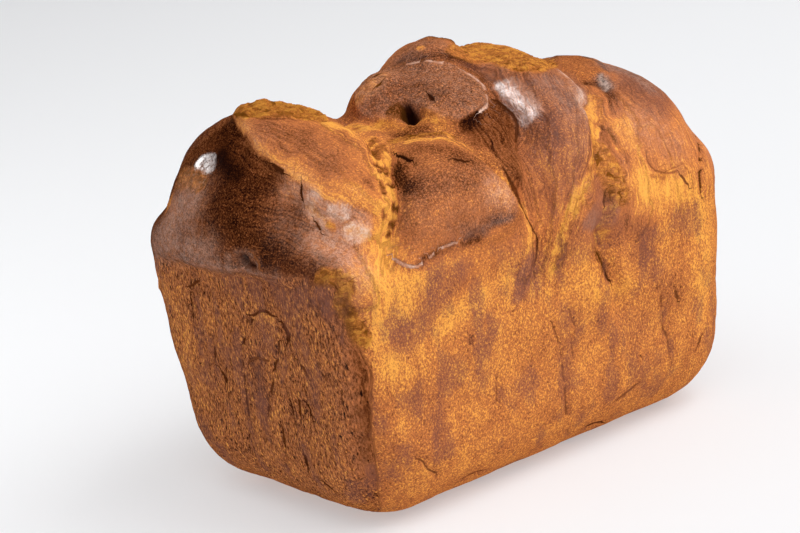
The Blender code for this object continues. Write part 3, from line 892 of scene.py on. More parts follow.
valleyMarks = dict(
    seamGold=soft(
        "330,123 354,130 372,137 384,150 388,168 391,187 391,205 388,224 387,243 392,264", 4.2, bake=0,
        gloss=0, grain=0.4, crumb=0.15),
    seamPits=patch(
        "356,128 372,136 379,147 384,162 390,180 394,198 393,216 391,234", 1.2, bake=0.82, crumb=1,
        lift=-0.7, broken=0, hold=0.95),
    cornerGold=soft("384,262 382,285 392,305 405,318", 8.5, bake=0.09, hold=0.85),
    cornerGoldLow=soft("372,300 380,330 392,355", 8, bake=0, hold=0.7),
    underPillow=soft("405,282 425,285 440,275", 4.5, bake=0.02, hold=0.7),
    cornerFlakes=patch(
        "322,277 338,279 347,289 342,302 352,320 366,338", 2.6, bake=0, gloss=0.1, crumb=1.5),
    cornerFlakeCuts=line(
        "326,281 335,286 340,300 348,312 358,328", 0.6, bake=0.84, lift=-1, broken=-0.05, hold=0.85),
    cornerBand=soft(
        "334,300 346,325 355,350 361,380 363,410 365,440 369,475", 4.6, within="endSkin", bake=0.66,
        gloss=0.12, grain=0.35, hold=0.95),
    cornerBandDark=soft(
        "357,352 366,385 367,418 369,440", 2, within="endSkin", bake=0.84, grain=0.3, lift=-0.3, hold=0.9),
    seamPitsLeft=patch(
        "366,142 376,158 381,176 384,196 383,214", 0.9, bake=0.62, crumb=0.6, lift=-0.5, broken=0.15,
        hold=0.9),
    seamDark=patch("372,133 380,140 388,152", 1.6, bake=0.44, crumb=0.8, broken=-0.2),
    cornerFlakeEdges=line(
        "318,274 332,272 346,277 352,290 350,304 362,322 372,334", 0.7, bake=0.8, lift=-0.6, broken=0.05,
        hold=0.8),
)

middleLobeMarks = dict(
    discShade=soft("400,92 418,88 440,96", 5, within="discSkin", bake=0.77, hold=0.6),
    discRim=line(
        "404,65 415,63 428,62 440,64 448,66", 1.3, bake=0.35, gloss=0.6, film=0.9, lift=0.3, broken=-0.2),
    discRimRight=line(
        "466,75 476,82 484,90 488,99 486,106 480,112", 1.3, bake=0.35, gloss=0.6, film=1, lift=0.4,
        broken=-0.45),
    discLeftTears=soft(
        "352,108 362,96 374,84 380,76", 2.2, within="discSkin", bake=0.23, film=0.25, crumb=0.7),
    discPitA=line("429,96 432,100", 1.3, bake=0.92, lift=-1),
    discPitB=line("375,76 379,74", 1, bake=0.9, lift=-0.8),
    discPitC=line("377,86 380,83", 0.9, bake=0.88, lift=-0.6),
    discPitD=line("471,92", 0.9, bake=0.88, lift=-0.6),
    cavityStreak=patch("421,108 428,113 436,119", 1, bake=0.48, crumb=0.5),
    cavityGold=soft("378,122 392,126 402,128 418,122 430,118 440,124", 2.4, bake=0.23, crumb=0.6, hold=0.9),
    cavityFoot=soft("398,134 410,130 424,128", 2.8, bake=0.84, hold=0.8),
    discFoot=soft("354,118 364,124 374,127", 3, bake=0, crumb=0.7),
    # painted shadow under the disc's right edge, near-black on the skirt
    discUnderShadow=soft("440,118 458,124 476,116", 3, within="skirtSkin", bake=0.99, gloss=0.1, grain=0.35),
    creviceRow=patch("396,141 408,138 420,135 433,132 446,130", 2.6, bake=0.37, crumb=1),
    creviceCut=line("400,138 410,136 420,133 432,130 446,131", 1.2, bake=0.86, lift=-1.2, broken=-0.1),
    creviceGold=patch(
        "408,143 425,140 445,138 458,145 470,153 496,166 517,179 526,197 533,216 540,234", 1.1, bake=0,
        grain=0.4, crumb=0.15),
    creviceCrack=line("507,168 518,179 526,192 531,212 541,229", 0.8, bake=0.85, lift=-0.9, hold=0.8),
    creviceLower=line("541,229 544,240 543,256 540,270", 0.8, bake=0.88, lift=-1.2, hold=0.75),
    strandGold=soft("524,192 531,212 534,232 532,252", 2.4, bake=0, hold=0.95),
    strandDark=soft("518,150 528,172 537,192 543,212", 3, bake=0.61, gloss=0.3),
    foldDark=line("494,97 503,104 511,112 516,123 519,138", 0.7, bake=0.8, lift=-1),
    skirtPit=line("470,128", 1.2, bake=0.92, lift=-1),
    crownBrown=soft("398,62 416,50 436,46", 6, bake=0.58, gloss=0.15, film=0.1),
    crownBand=soft("400,63 425,57 448,57 470,66 488,78", 2.6, bake=0.82, gloss=0.25),
    crownFleck=patch("419,50 423,50", 0.9, bake=0, crumb=0.4, lift=0.4),
    crownKnobDark=soft("430,40 440,39 449,42", 2.2, bake=0.94, crumb=0.5, lift=0.6),
    crumbFieldLeft=patch("450,52 462,54", 2.8, within="crumbSkin", bake=0.41, crumb=0.8),
    domeTopDark=soft(
        "486,74 500,80 520,82 545,80", 3.2, within="domeSkin", bake=0.68, gloss=0.3, grain=0.2),
    # glaze that catches the dome panel's highlight; its pale film paints part of that highlight
    domeGlazeAndGlint=patch(
        "505,92 514,100 524,108", 6, within="domeSkin", bake=0.6, gloss=1, grain=0.15, film=0.25),
    domeFoldShade=soft("510,108 515,118 520,132", 0.9, bake=0.66, gloss=0.2, hold=0.9),
    domeRed=soft(
        "552,120 556,138 552,156", 4.2, within="domeSkin", bake=0.86, gloss=0.3, stain=0.8, hold=0.8),
    domeTopRed=soft(
        "548,82 562,92 572,106", 6, within="domeSkin", bake=0.64, gloss=0.35, film=0.18, stain=0.6),
    # painted sheen along the dome's upper right edge, as pale film over gloss
    domeEdgeSheen=soft("566,76 580,90 588,108", 3.6, within="domeSkin", bake=0.27, gloss=0.6, film=1),
    domePurple=soft("576,130 578,152 572,176", 6, within="domeSkin", bake=0.42, gloss=0.35, stain=0.6),
    domeLow=soft("545,170 556,186 560,206", 7, bake=0.35, gloss=0.3),
    domeFoot=soft("552,215 550,240 545,268", 4.5, bake=0.29, gloss=0.15),
    pillowTop=soft("420,150 446,152 474,162", 5.5, within="pillowSkin", bake=0.65, grain=0.74),
    pillowMiddle=soft("420,190 450,190 482,192", 9, within="pillowSkin", bake=0.69, grain=0.74, film=0.06),
    pillowLow=soft("410,225 440,218 475,208", 7, within="pillowSkin", bake=0.49, grain=0.74, film=0.06),
    pillowSheen=soft("494,190 506,196", 4, within="pillowSkin", bake=0.34, gloss=0.5, film=0.3),
    # painted shade in the dent at the pillow's upper left
    pillowDent=soft("398,164 402,176 410,180", 3.6, within="pillowSkin", bake=0.97, gloss=0.1),
    pillowSlit=line("398,153 405,156 409,158", 1.1, bake=0.97, lift=-1.4),
    pillowPit=line("457,160 463,161", 1, bake=0.88, lift=-0.7),
    pillowShade=soft(
        "470,240 490,231 510,220 518,226", 3.4, within="pillowSkin", bake=0.84, film=0.14, stain=0.3,
        hold=0.85),
    pillowShadeDark=soft("498,224 510,221", 2.4, within="pillowSkin", bake=0.92, film=0.25, hold=0.7),
    pillowCorner=soft("392,240 396,255 404,262", 3, bake=0.2, hold=0.7),
    # painted highlight along the pillow's raised lower lip, as pale film over gloss
    lipGlint=line(
        "401,260 408,266 418,266 428,259 440,250 456,243", 1.1, bake=0.4, gloss=0.4, film=0.7, lift=0.4,
        broken=-0.35),
    lipShade=soft("420,264 432,256 446,249 462,246 480,240", 1.4, bake=0.87, lift=-0.4, hold=0.85),
    creviceGoldUpper=patch("446,131 455,138 478,151 492,160 506,170", 0.9, bake=0.04, grain=0.4, hold=0.9),
    creviceStrand=line("452,140 468,147 486,157 504,170", 0.6, bake=0.72, hold=0.8),
)

farLobeMarks = dict(
    seam2Gold=patch(
        "594,98 597,112 600,128 603,145 598,165 590,182 578,198 571,214 564,236 554,268", 2.6, bake=0,
        crumb=0.5, hold=0.95),
    seam2GoldRight=patch("606,118 614,136 622,150", 1.8, bake=0.11, crumb=0.4),
    seam2Crumb=patch("606,148 610,162 617,178 620,196", 4.4, bake=0.28, crumb=1),
    seam2Pits=line("607,148 606,162 612,172 619,180 621,192", 1.3, bake=0.86, crumb=1, lift=-1, broken=0),
    seam2Brown=soft("604,124 611,132 617,142", 1.8, bake=0.89, lift=-0.3),
    seam2Patch=soft("598,188 604,196 608,206", 3.4, bake=0.47, stain=0.5),
    seam2Slit=line("612,196 611,204", 0.9, bake=0.92, lift=-0.8),
    seam2LowGold=patch("614,212 612,228 607,244", 2.4, bake=0, crumb=0.6, hold=0.85),
    seam2LowBrown=soft("597,250 603,258 606,268", 3.4, bake=0.36, crumb=0.5),
    seam2Crevice=line("603,254 607,262 611,272 614,282", 0.9, bake=0.94, lift=-1.4, hold=0.8),
    seam2FootGold=soft("600,292 612,296 620,288 626,284", 4, bake=0.14, crumb=0.3, hold=0.8),
    farDiscRim=soft("556,58 576,55 594,60 606,70", 1.4, bake=0.93, gloss=0.5, film=0.2),
    farFoldDark=soft("586,82 598,80 606,84 612,96 617,106", 2.2, bake=0.79, gloss=0.2),
    # painted highlight on the far fold, as pale film over gloss
    farFoldGlint=soft("602,76 608,84", 1.8, bake=0.85, gloss=0.5, film=0.7),
    farFoldGold=soft("594,96 602,106 612,118", 3, bake=0.44, hold=0.9),
    farTopPurple=soft("612,66 630,74 645,86", 5, bake=0.72, gloss=0.35, film=0.3, stain=0.5),
    farRed=soft("632,84 645,98 652,112", 4.2, bake=0.66, gloss=0.3, stain=0.5, hold=0.85),
    farMiddle=soft("636,120 655,130 675,140", 8, bake=0.36, gloss=0.3, film=0.14),
    farStrand=soft("618,118 630,140 642,160 646,185", 2.6, bake=0.12, hold=0.8),
    farFlank=soft("625,155 632,175 630,195", 3.4, bake=0.44, hold=0.7),
    farGoldSide=soft("646,190 668,188 690,185", 7.5, bake=0, hold=0.85),
    farRight=soft("680,120 694,140 700,165", 6, bake=0.33, gloss=0.25),
    blister=line("647,155 649,162 655,169 664,173 672,173 678,171", 0.6, bake=0.74, lift=-0.7, hold=0.5),
    blisterTear=patch("654,176 660,178 668,174", 1.2, bake=0.24, crumb=0.6),
    blisterEnd=line("682,175 687,184", 0.8, bake=0.66, lift=-0.4),
    cornerStrip=line("699,138 701,154 700,172 702,190", 1, bake=0.86, crumb=1, lift=-1.2, broken=-0.3),
    cornerStripEdge=soft("704,138 707,156 706,180", 1.6, bake=0.18, hold=0.7),
    seam2CreviceShade=soft("598,252 606,264 613,278", 1.8, bake=0.8, hold=0.8),
)

sideMarks = dict(
    stainLeft=soft("436,290 424,312 410,330 400,342", 4.2, bake=0.37, stain=0.75, hold=0.85),
    stainUnderLip=soft("452,256 444,272 436,290", 3.4, bake=0.27, stain=0.45, hold=0.7),
    stainFold=soft("536,258 530,274 522,288", 3, bake=0.55, stain=0.9, hold=0.9),
    stainFoldRight=soft("546,262 540,280 534,292", 2.6, bake=0.24, stain=0.7, hold=0.8),
    stainSeam=soft("575,226 570,245 562,262", 2.6, bake=0.59, stain=0.45, hold=0.7),
    stainMiddle=soft("480,318 485,345 478,372", 7, bake=0.21, stain=0.35, hold=0.5),
    stainLow=soft("430,395 440,420 436,440", 6, bake=0.47, stain=0.35, hold=0.5),
    stainRight=soft("626,225 640,235 638,250", 5, bake=0.51, stain=0.45, hold=0.6),
    stainFarLow=soft("625,322 635,330 645,326", 4.5, bake=0.33, stain=0.5, hold=0.6),
    stainCorner=soft("655,276 664,284", 4, bake=0.4, stain=0.35, hold=0.6),
    paleBand=soft("440,330 470,305 505,285", 4.5, bake=0.02, hold=0.6),
    paleRight=soft("580,262 592,278 590,295", 5.5, bake=0.14, hold=0.7),
    paleCorner=soft("700,215 705,260 703,310", 5, bake=0.09, hold=0.8),
    redLow=soft("515,345 535,370 530,400", 11, bake=0.33, hold=0.45),
    spot=patch("470,339", 1.4, bake=0.59, stain=0.4),
    creaseLong=line(
        "552,323 558,340 563,358 565,385 567,410 568,434", 0.6, bake=0.7, lift=-0.8, broken=-0.35,
        hold=0.6),
    creaseShort=line("497,371 497,388 498,405", 0.5, bake=0.66, lift=-0.6, broken=-0.4, hold=0.55),
    creaseUpper=line("570,313 574,324", 0.7, bake=0.72, lift=-0.7, hold=0.6),
    creaseUpperTwo=line("571,332 573,345 575,356", 0.7, bake=0.66, lift=-0.6, broken=-0.4, hold=0.55),
    creaseRight=line("658,288 662,300 664,318 666,332", 0.7, bake=0.7, lift=-0.8, broken=-0.3, hold=0.6),
    creaseRightFoot=line("665,326 669,340 670,353", 0.7, bake=0.66, lift=-0.8, hold=0.6),
    creaseEdge=line("676,292 678,298", 1.1, bake=0.68, lift=-0.5),
    creaseCornerLow=line("702,338 699,345", 1, bake=0.66, lift=-0.5),
    curl=line("417,459 424,462 428,469 437,474", 0.6, bake=0.76, lift=-0.8, hold=0.7),
    curlLip=soft("414,461 421,466 426,473", 1.4, bake=0.16, lift=0.5),
    footNotch=line("462,482 470,477 480,473", 1.1, bake=0.66, lift=-1.2),
    footNotchTwo=line("588,428 596,425 602,424", 1.1, bake=0.78, lift=-1),
    footDark=soft("500,470 540,455 575,440", 2.4, bake=0.4, hold=0.6),
    specks=line("637,385 618,400", 0.8, bake=0.6, lift=-0.3),
)

endMarks = dict(
    upperShade=soft("270,285 300,290 325,300 340,320", 7, bake=0.63, stain=0.3, hold=0.7),
    edgeShade=soft("350,345 356,380 362,420", 6, bake=0.59, hold=0.6),
    leftWarm=soft("165,290 180,330 195,380", 6, bake=0.24, hold=0.6),
    footShade=soft("360,462 375,480 368,495", 6, bake=0.52, hold=0.6),
    swirlTop=line("252,316 262,311 272,316", 0.8, bake=0.8, lift=-0.8, hold=0.9),
    swirlTopPale=soft("254,322 264,315 272,322", 1.4, bake=0.18, lift=0.5),
    swirlLeft=line(
        "252,318 245,332 242,350 242,370 245,395 247,420 248,452", 0.8, bake=0.84, lift=-0.9, broken=-0.2,
        hold=0.9),
    swirlRight=line(
        "276,338 276,352 273,372 269,395 267,414", 0.8, bake=0.78, lift=-0.8, broken=-0.2, hold=0.9),
    swirlPit=line("282,326 287,334 286,340", 1.6, bake=0.8, lift=-0.9),
    swirlInner=soft("258,330 262,342 260,352", 3.4, bake=0.52, stain=0.4),
    swirlHeart=soft("256,368 260,385 262,402", 3.6, bake=0.74, stain=0.5),
    swirlStep=line("248,362 256,358 264,360", 0.8, bake=0.66, lift=-0.4),
    crackLeft=line("188,290 190,302 192,318", 0.8, bake=0.86, lift=-1, broken=-0.4, hold=0.8),
    crackLeftTop=line("190,286 196,282", 1, bake=0.74, lift=-0.5),
    pitsA=line("289,402 291,412", 1.2, bake=0.86, lift=-1),
    pitsB=line("306,406 309,412", 1.2, bake=0.86, lift=-1),
    pitsC=line("298,402 299,418", 1, bake=0.78, lift=-0.8),
    pitsD=line("282,430 285,446", 1, bake=0.76, lift=-0.8),
    pitsE=line("304,458 306,466", 1.4, bake=0.86, lift=-1),
    pitsF=line("221,374 224,382", 1.2, bake=0.8, lift=-0.8),
    pitsG=line("213,350 213,358", 1, bake=0.76, lift=-0.7),
    pitsH=line("302,368 306,376", 1, bake=0.72, lift=-0.7),
    pitsI=line("324,484 330,489", 1.4, bake=0.8, lift=-0.8),
    leftFleck=patch("158,286", 1, bake=0, lift=1.2),
)

# Directions in which the crust was drawn out, for its fine strands
strandPaths = dict(
    capLow=strands("170,215 180,245 215,258 262,262", 14, fibre=0.25),
    capFront=strands("250,225 290,236 330,252 362,276 380,305", 11, fibre=0.6),
    cheekUpper=strands("258,124 300,134 345,160 378,195", 9, fibre=0.5),
    cheekMiddle=strands("246,136 280,160 318,182 356,206 380,228", 9, fibre=0.6),
    cheekSeam=strands("334,126 358,142 376,168 386,200 384,240 384,270", 5.5, fibre=1),
    valley=strands("352,130 378,140 388,165 394,200 391,235 394,264", 4, fibre=1),
    corner=strands("378,250 378,285 386,325 394,370", 13, fibre=0.7),
    crevice=strands("410,140 446,136 470,149 496,165 514,178 526,202 534,236 530,270", 3.6, fibre=1),
    skirt=strands("484,108 496,130 514,156 532,184 543,214", 7, fibre=0.7),
    domeLeft=strands("508,72 520,102 530,140 542,180 549,220 544,268", 8, fibre=0.8),
    domeMiddle=strands("540,72 558,104 566,145 562,190 556,240 548,275", 8, fibre=0.9),
    domeRight=strands("570,78 588,118 588,160 574,204 562,244", 6, fibre=1),
    seam2=strands("594,100 602,132 604,166 590,190 572,216 558,262", 3.4, fibre=1),
    farFlank=strands("604,90 618,118 632,146 640,180 640,220", 6, fibre=0.8),
    farDome=strands("612,64 648,92 680,134 694,180", 14, fibre=0.6),
    farSide=strands("654,150 664,190 662,240", 10, fibre=0.5),
    crown=strands("398,66 425,54 455,56 485,74", 7, fibre=0.5),
    backFirst=strands("-62,20,124 -40,40,108 -34,58,80", 12, fibre=0.6),
    backDome=strands("20,10,128 28,40,115 30,58,80", 18, fibre=0.6),
    backFar=strands("58,10,118 66,40,104 68,56,80", 12, fibre=0.6),
)

# Sides that the photograph doesn't show, finished like those that it does
hiddenMarks = dict(
    backSeamGold=soft(
        "-44,-4,121 -37,24,114 -31,50,98 -29,58,80 -30,58,66", 4.2, bake=0.1, gloss=0.1, crumb=0.55),
    backSeamPits=line("-41,8,118 -35,30,111 -30,52,96 -29,58,82", 1.2, bake=0.78, crumb=1, lift=-0.8),
    backSecondGold=soft("41,6,118 50,34,109 55,54,92 54,58,72", 4, bake=0.12, gloss=0.1, crumb=0.5),
    backSecondPits=line("44,16,115 53,44,103 55,57,84", 1.3, bake=0.8, crumb=1, lift=-0.8),
    backDomeDark=soft("12,30,122 26,38,118 36,34,116", 13, bake=0.76, gloss=0.45, grain=0.25),
    backDomeLow=soft("10,58,92 34,59,92", 11, bake=0.46, gloss=0.12),
    nearCapBack=soft("-62,36,110 -54,50,98", 8.5, bake=0.86, gloss=0.4, grain=0.3),
    nearCapPatch=patch("-52,40,108 -48,46,104", 4, bake=0.52, gloss=0.4, film=0.6),
    farTopDark=soft("62,12,117 70,30,109", 14, bake=0.72, gloss=0.4, grain=0.3),
    farEndBrown=soft("80,-20,98 82,10,98 78,36,94", 16, bake=0.56, gloss=0.1),
    farEndTear=patch("84,-34,82 85,-28,74 84,-24,68", 2.6, bake=0.22, crumb=1),
    farEndCrease=line("84,12,74 83,10,52 82,13,34", 0.7, bake=0.78, lift=-0.8, hold=0.6),
    backStain=soft("-10,58,74 -4,57,56", 6, bake=0.44, stain=0.6, hold=0.8),
    backStainFar=soft("40,57,62 46,55,46", 5, bake=0.42, stain=0.5, hold=0.7),
    backPale=soft("-50,58,70 -40,56,50", 9, bake=0.16, hold=0.7),
    backPaleFar=soft("20,58,70 12,57,60", 8, bake=0.16, hold=0.6),
    backCrease=line("2,57,50 3,55,30 2,53,16", 0.7, bake=0.74, lift=-0.7, hold=0.6),
    backCreaseTwo=line("-56,55,46 -55,54,32", 0.7, bake=0.72, lift=-0.6, hold=0.6),
    farEndGold=soft("86,40,88 87,12,90 87,-20,88", 6, bake=0.2, gloss=0.1, hold=0.7),
    backRimGold=soft("-20,60,84 6,60,86 30,60,84", 6, bake=0.24, gloss=0.1, hold=0.7),
    backRimBrown=soft("-22,58,98 0,52,106 6,40,114", 12, bake=0.56, gloss=0.1, hold=0.8),
)

allMarks = [areaMarks, nearLobeMarks, valleyMarks, middleLobeMarks, farLobeMarks]
allMarks += [sideMarks, endMarks, hiddenMarks]


def placePaths(marks):
    # Every mark's pixels carried onto the form in one go, then cut back into paths
    marks = [mark for mark in marks if "pixels" in mark]
    points = pixelsOnForm([pixel for mark in marks for pixel in mark["pixels"]], pixelRays)
    ends = np.cumsum([len(mark["pixels"]) for mark in marks])
    for mark, path in zip(marks, np.split(points, ends[:-1])):
        mark["path"] = smoothPath(path)


def onPhoto(points):
    # Pixel of the photograph under each point
    right, up, back = viewAxes(photoView)
    away = points - viewPlace(photoView)
    scale = -photoView["focal"] / (away @ back)
    across, down = scale * (away @ right), -scale * (away @ up)
    return np.stack([photoView["width"] / 2 + across, photoView["height"] / 2 + down], 1)


def areaDepth(pixels, outline):
    # How far inside a closed outline of pixels each pixel is, in metres on the loaf, negative outside
    start, end = outline, np.roll(outline, -1, axis=0)
    x, y = pixels[:, :1], pixels[:, 1:]
    run = end - start
    share = np.clip(((x - start[:, 0]) * run[:, 0] + (y - start[:, 1]) * run[:, 1]) / (run**2).sum(1), 0, 1)
    gap = np.hypot(x - start[:, 0] - share * run[:, 0], y - start[:, 1] - share * run[:, 1]).min(1)
    crosses = (start[:, 1] > y) != (end[:, 1] > y)
    crossing = start[:, 0] + (y - start[:, 1]) * run[:, 0] / np.where(run[:, 1] == 0, 1e-9, run[:, 1])
    inside = (crosses & (x < crossing)).sum(1) % 2 == 1
    return np.where(inside, gap, -gap) * photoView["distance"] / photoView["focal"]


markShape = {
    "swayShare": {"soft": 0.8, "patch": 1.0, "line": 0.35},
    "swayWidth": 0.002,  # half width above which a mark sways fully
    "areaSway": 0.7,
    "reach": {"soft": 2.6, "patch": 1.6, "line": 6.0, "area": 1.0},  # in half widths
    "reachMore": {"soft": 0.0025, "patch": 0.0025, "line": 0.0025, "area": 0.0085},
    "patchEdge": (0.75, 1.25),
    "beat": 0.0016,  # length of the breaks in a broken mark
    "beatEdge": 0.15,
    "lineFalloff": 0.0009,
    "lineHalf": 0.5,  # of its width, at which its drawn edge lies
    "leastGate": 0.05,
    "lineShare": 0.45,  # how much of a line the grid itself takes
    # a crack's dark, painted shade in it
    "lineShadeBake": 0.8,
    # film here is pale skin and, in some marks, painted sheen
    "filmSheenLoss": 0.7,  # film that a mark without its own film takes away
    "facing": (0.02, 0.10),
}


def markCover(mark, near, shape):
    # Falloff of the mark at these points, and their signed offset from its line in half widths
    kind, width = mark["kind"], mark["width"]
    if kind == "area":
        outline = np.array(mark["pixels"])
        outline = smoothPath(np.concatenate([outline, outline[:1]]), 4)[:-1]
        depth = areaDepth(onPhoto(base[near] + shape["areaSway"] * wander[near]), outline)
        return smoothStep(depth, -width, width), None
    swayed = base[near] + shape["swayShare"][kind] * min(1.0, width / shape["swayWidth"]) * wander[near]
    distance, _, run, offset, direction = pathDistance(swayed, mark["path"])
    gate = 1.0
    if "broken" in mark:
        along = np.stack([run / shape["beat"], run * 0, run * 0], 1)
        beat = softNoise(along, 1.0, seeds["beat"] + len(mark["path"]))
        gate = smoothStep(beat, mark["broken"] - shape["beatEdge"], mark["broken"] + shape["beatEdge"])
    if kind == "soft":
        return np.exp(-((distance / width) ** 2)), None
    if kind == "patch":
        return gate * (1 - smoothStep(distance / width, *shape["patchEdge"])), None
    side = (offset * np.cross(direction, outward[near])).sum(1)
    across = np.where(side < 0, -1, 1) * distance / (shape["lineHalf"] * width)
    across /= np.maximum(gate, shape["leastGate"])
    return gate * np.exp(-distance / max(width, shape["lineFalloff"])), across


def layMark(name, mark, height, shape):
    # Each field is drawn towards the mark's value by its falloff; a line also leaves its offset
    # for the material, which draws its edges sharper than the grid can
    kind = mark["kind"]
    reach = shape["reach"][kind] * mark["width"] + shape["reachMore"][kind]
    near = np.all((base > mark["path"].min(0) - reach) & (base < mark["path"].max(0) + reach), axis=1)
    near = np.nonzero(near)[0]
    cover, across = markCover(mark, near, shape)
    facing = smoothStep(outward[near] @ viewAxes(photoView)[2], *shape["facing"]) if "pixels" in mark else 1
    cover = cover * facing
    if kind == "area":
        skinCover[name] = np.zeros(len(base))
        skinCover[name][near] = cover
    if "within" in mark:
        cover = cover * skinCover[mark["within"]][near]
    held = cover * mark.get("hold", 1)
    if kind == "line":
        closer = np.abs(across) < np.abs(cuts["cut"][near])
        here = near[closer]
        cuts["cut"][here] = across[closer]
        cuts["cutBake"][here] = mark.get("bake", shape["lineShadeBake"])
        cuts["cutFilm"][here] = mark.get("film", 0)
        cuts["cutHold"][here] = (mark.get("hold", 1) * facing * np.ones(len(near)))[closer]
        held = held * shape["lineShare"]
    elif "bake" in mark and "film" not in mark:
        fields["film"][near] *= 1 - held * shape["filmSheenLoss"]
    for key, field in fields.items():
        if key in mark and (key, kind) != ("film", "line"):
            field[near] += (mark[key] - field[near]) * held
    height[near] += mark["lift"] * cover


strandShape = {"leastCover": 0.05, "sway": 1.5, "apart": 0.013, "fade": (0.05, 0.55)}


def layStrands(shape):
    # Nearest drawn-out path of each point: offset across it, length along it, and the path's number
    best = np.full(len(base), shape["leastCover"])
    for number, lead in enumerate(strandPaths.values()):
        distance, _, run, offset, direction = pathDistance(base + shape["sway"] * wander, lead["path"])
        cover = np.exp(-((distance / lead["width"]) ** 2))
        across = (offset * np.cross(direction, outward)).sum(1)
        closer = cover > best
        best[closer] = cover[closer]
        strand[closer] = np.stack([across, run, np.full(len(base), shape["apart"] * number)], 1)[closer]
        fields["fibre"][closer] = (lead["fibre"] * smoothStep(cover, *shape["fade"]))[closer]


placePaths([mark for group in allMarks + [strandPaths] for mark in group.values()])
height = solidRelief(wandered)
skinCover = {}
for group in allMarks:
    for name, mark in group.items():
        layMark(name, mark, height, markShape)
layStrands(strandShape)
print("marks", sum(len(group) for group in allMarks))

# Fine relief: crumb, pores, strands and skin

fineRelief = {
    "crumbMost": 1.5,
    "crumbSway": 0.5,
    "crumbStretch": (0.5, 1, 1),
    "crumbRise": 0.00198,
    "crumbLength": 0.0026,
    "crumbMiddle": 0.62,
    "crumbPitDepth": 0.0008,
    "crumbPitSpacing": 0.0021,
    "crumbPitEdge": (0.12, 0.44),
    "crumbPitChosen": (0.25, 0.45),
    "crumbLow": (0.02, 0.22),
    "crumbLowShare": 0.7,
    "crumbShadeBake": 0.80,
    "crumbShadeShare": 0.6,
    "poreDepth": 0.0007,
    "poreShade": 0.12,
    "poreSway": 0.9,
    "poreSpacing": (0.0032, 0.0032, 0.0060),
    "poreEdge": (0.05, 0.36),
    "poreChosen": (0.58, 0.63),
    "strandRise": 0.00017,
    "strandBake": -0.06,
    "strandWidth": 0.0017,
    "strandLength": 0.016,
    "strandApart": 0.001,
    "skinRise": 0.00022,
    "skinLength": 0.0045,
    "skinGloss": (0.4, 0.9),
    "skinGlossLoss": 0.8,
    "roughRise": 0.00012,
    "roughLength": 0.0022,
    "mottleBake": 0.06,
    "mottleLength": 0.009,
    "cloudSway": 1.5,
    "cloudStretch": (1, 1, 0.45),
    "cloudLength": 0.0050,
    "cloudStain": 0.70,
    "cloudStained": (0.04, 0.34),
    "cloudBake": 0.06,
    "cloudBaked": (0.0, 0.45),
    "endFilm": 0.05,
    "streakBake": 0.09,
    "streakStretch": (1, 1, 0.35),
    "streakLength": 0.0032,
    "footFade": 0.004,
}


def layFineRelief(relief, height):
    # Crags and pits in torn crumb, tall pores in the tin's sides and strands along the drawn-out
    # paths, each by its own field; then soft skin and roughness everywhere, and clouds of stain,
    # a film and tall streaks on the tin's sides; nothing at the foot
    crumb = np.clip(fields["crumb"], 0, relief["crumbMost"])
    drawn = (base + relief["crumbSway"] * wander) @ np.stack(viewAxes(photoView), 1)
    drawn *= relief["crumbStretch"]
    crags = ridgedNoise(drawn, relief["crumbLength"], 3, seeds["crags"]) - relief["crumbMiddle"]
    nearest, draw = poreNoise(drawn, relief["crumbPitSpacing"], seeds["crumbPits"])
    pits = (1 - smoothStep(nearest, *relief["crumbPitEdge"])) * smoothStep(draw, *relief["crumbPitChosen"])
    height += crumb * (relief["crumbRise"] * crags - relief["crumbPitDepth"] * pits)
    # painted shade: the pits and the crags' hollows darkened
    hollowShade = crumb * (pits + relief["crumbLowShare"] * smoothStep(-crags, *relief["crumbLow"]))
    hollowShade = np.clip(hollowShade, 0, 1) * relief["crumbShadeShare"]
    fields["bake"] += (relief["crumbShadeBake"] - fields["bake"]) * hollowShade

    nearest, draw = poreNoise(base + relief["poreSway"] * wander, relief["poreSpacing"], seeds["pores"])
    pores = (1 - smoothStep(nearest, *relief["poreEdge"])) * smoothStep(draw, *relief["poreChosen"])
    pores *= fields["pore"] * fields["side"]
    height -= relief["poreDepth"] * pores
    # painted shade: the pores darkened
    fields["bake"] += relief["poreShade"] * pores

    strandSize = relief["strandWidth"], relief["strandLength"], relief["strandApart"]
    lines = softNoise(strand / strandSize, 1.0, seeds["strands"]) * fields["fibre"]
    height += relief["strandRise"] * lines
    fields["bake"] += relief["strandBake"] * lines

    skin = layeredNoise(base, relief["skinLength"], 2, seeds["skin"])
    skin *= 1 - relief["skinGlossLoss"] * smoothStep(fields["gloss"], *relief["skinGloss"])
    height += relief["skinRise"] * skin
    rough = softNoise(base, relief["roughLength"], seeds["rough"])
    height += relief["roughRise"] * rough * fields["grain"]
    mottle = layeredNoise(base, relief["mottleLength"], 3, seeds["mottle"])
    fields["bake"] += relief["mottleBake"] * mottle

    cloudPlace = (base + relief["cloudSway"] * wander) * relief["cloudStretch"]
    clouds = layeredNoise(cloudPlace, relief["cloudLength"], 4, seeds["clouds"])
    fields["stain"] += relief["cloudStain"] * smoothStep(clouds, *relief["cloudStained"]) * fields["side"]
    fields["bake"] += relief["cloudBake"] * smoothStep(clouds, *relief["cloudBaked"]) * fields["side"]
    fields["film"] += relief["endFilm"] * fields["side"] * endShare
    streakPlace = base * relief["streakStretch"]
    streaks = layeredNoise(streakPlace, relief["streakLength"], 2, seeds["streaks"])
    fields["bake"] += relief["streakBake"] * streaks * fields["side"]
    height *= smoothStep(base[:, 2], 0.0, relief["footFade"])
    height[flatFoot] = 0


layFineRelief(fineRelief, height)
surface = base + outward * height[:, None] + np.array(photoView["centring"])
print("fine relief")

# The loaf's mesh


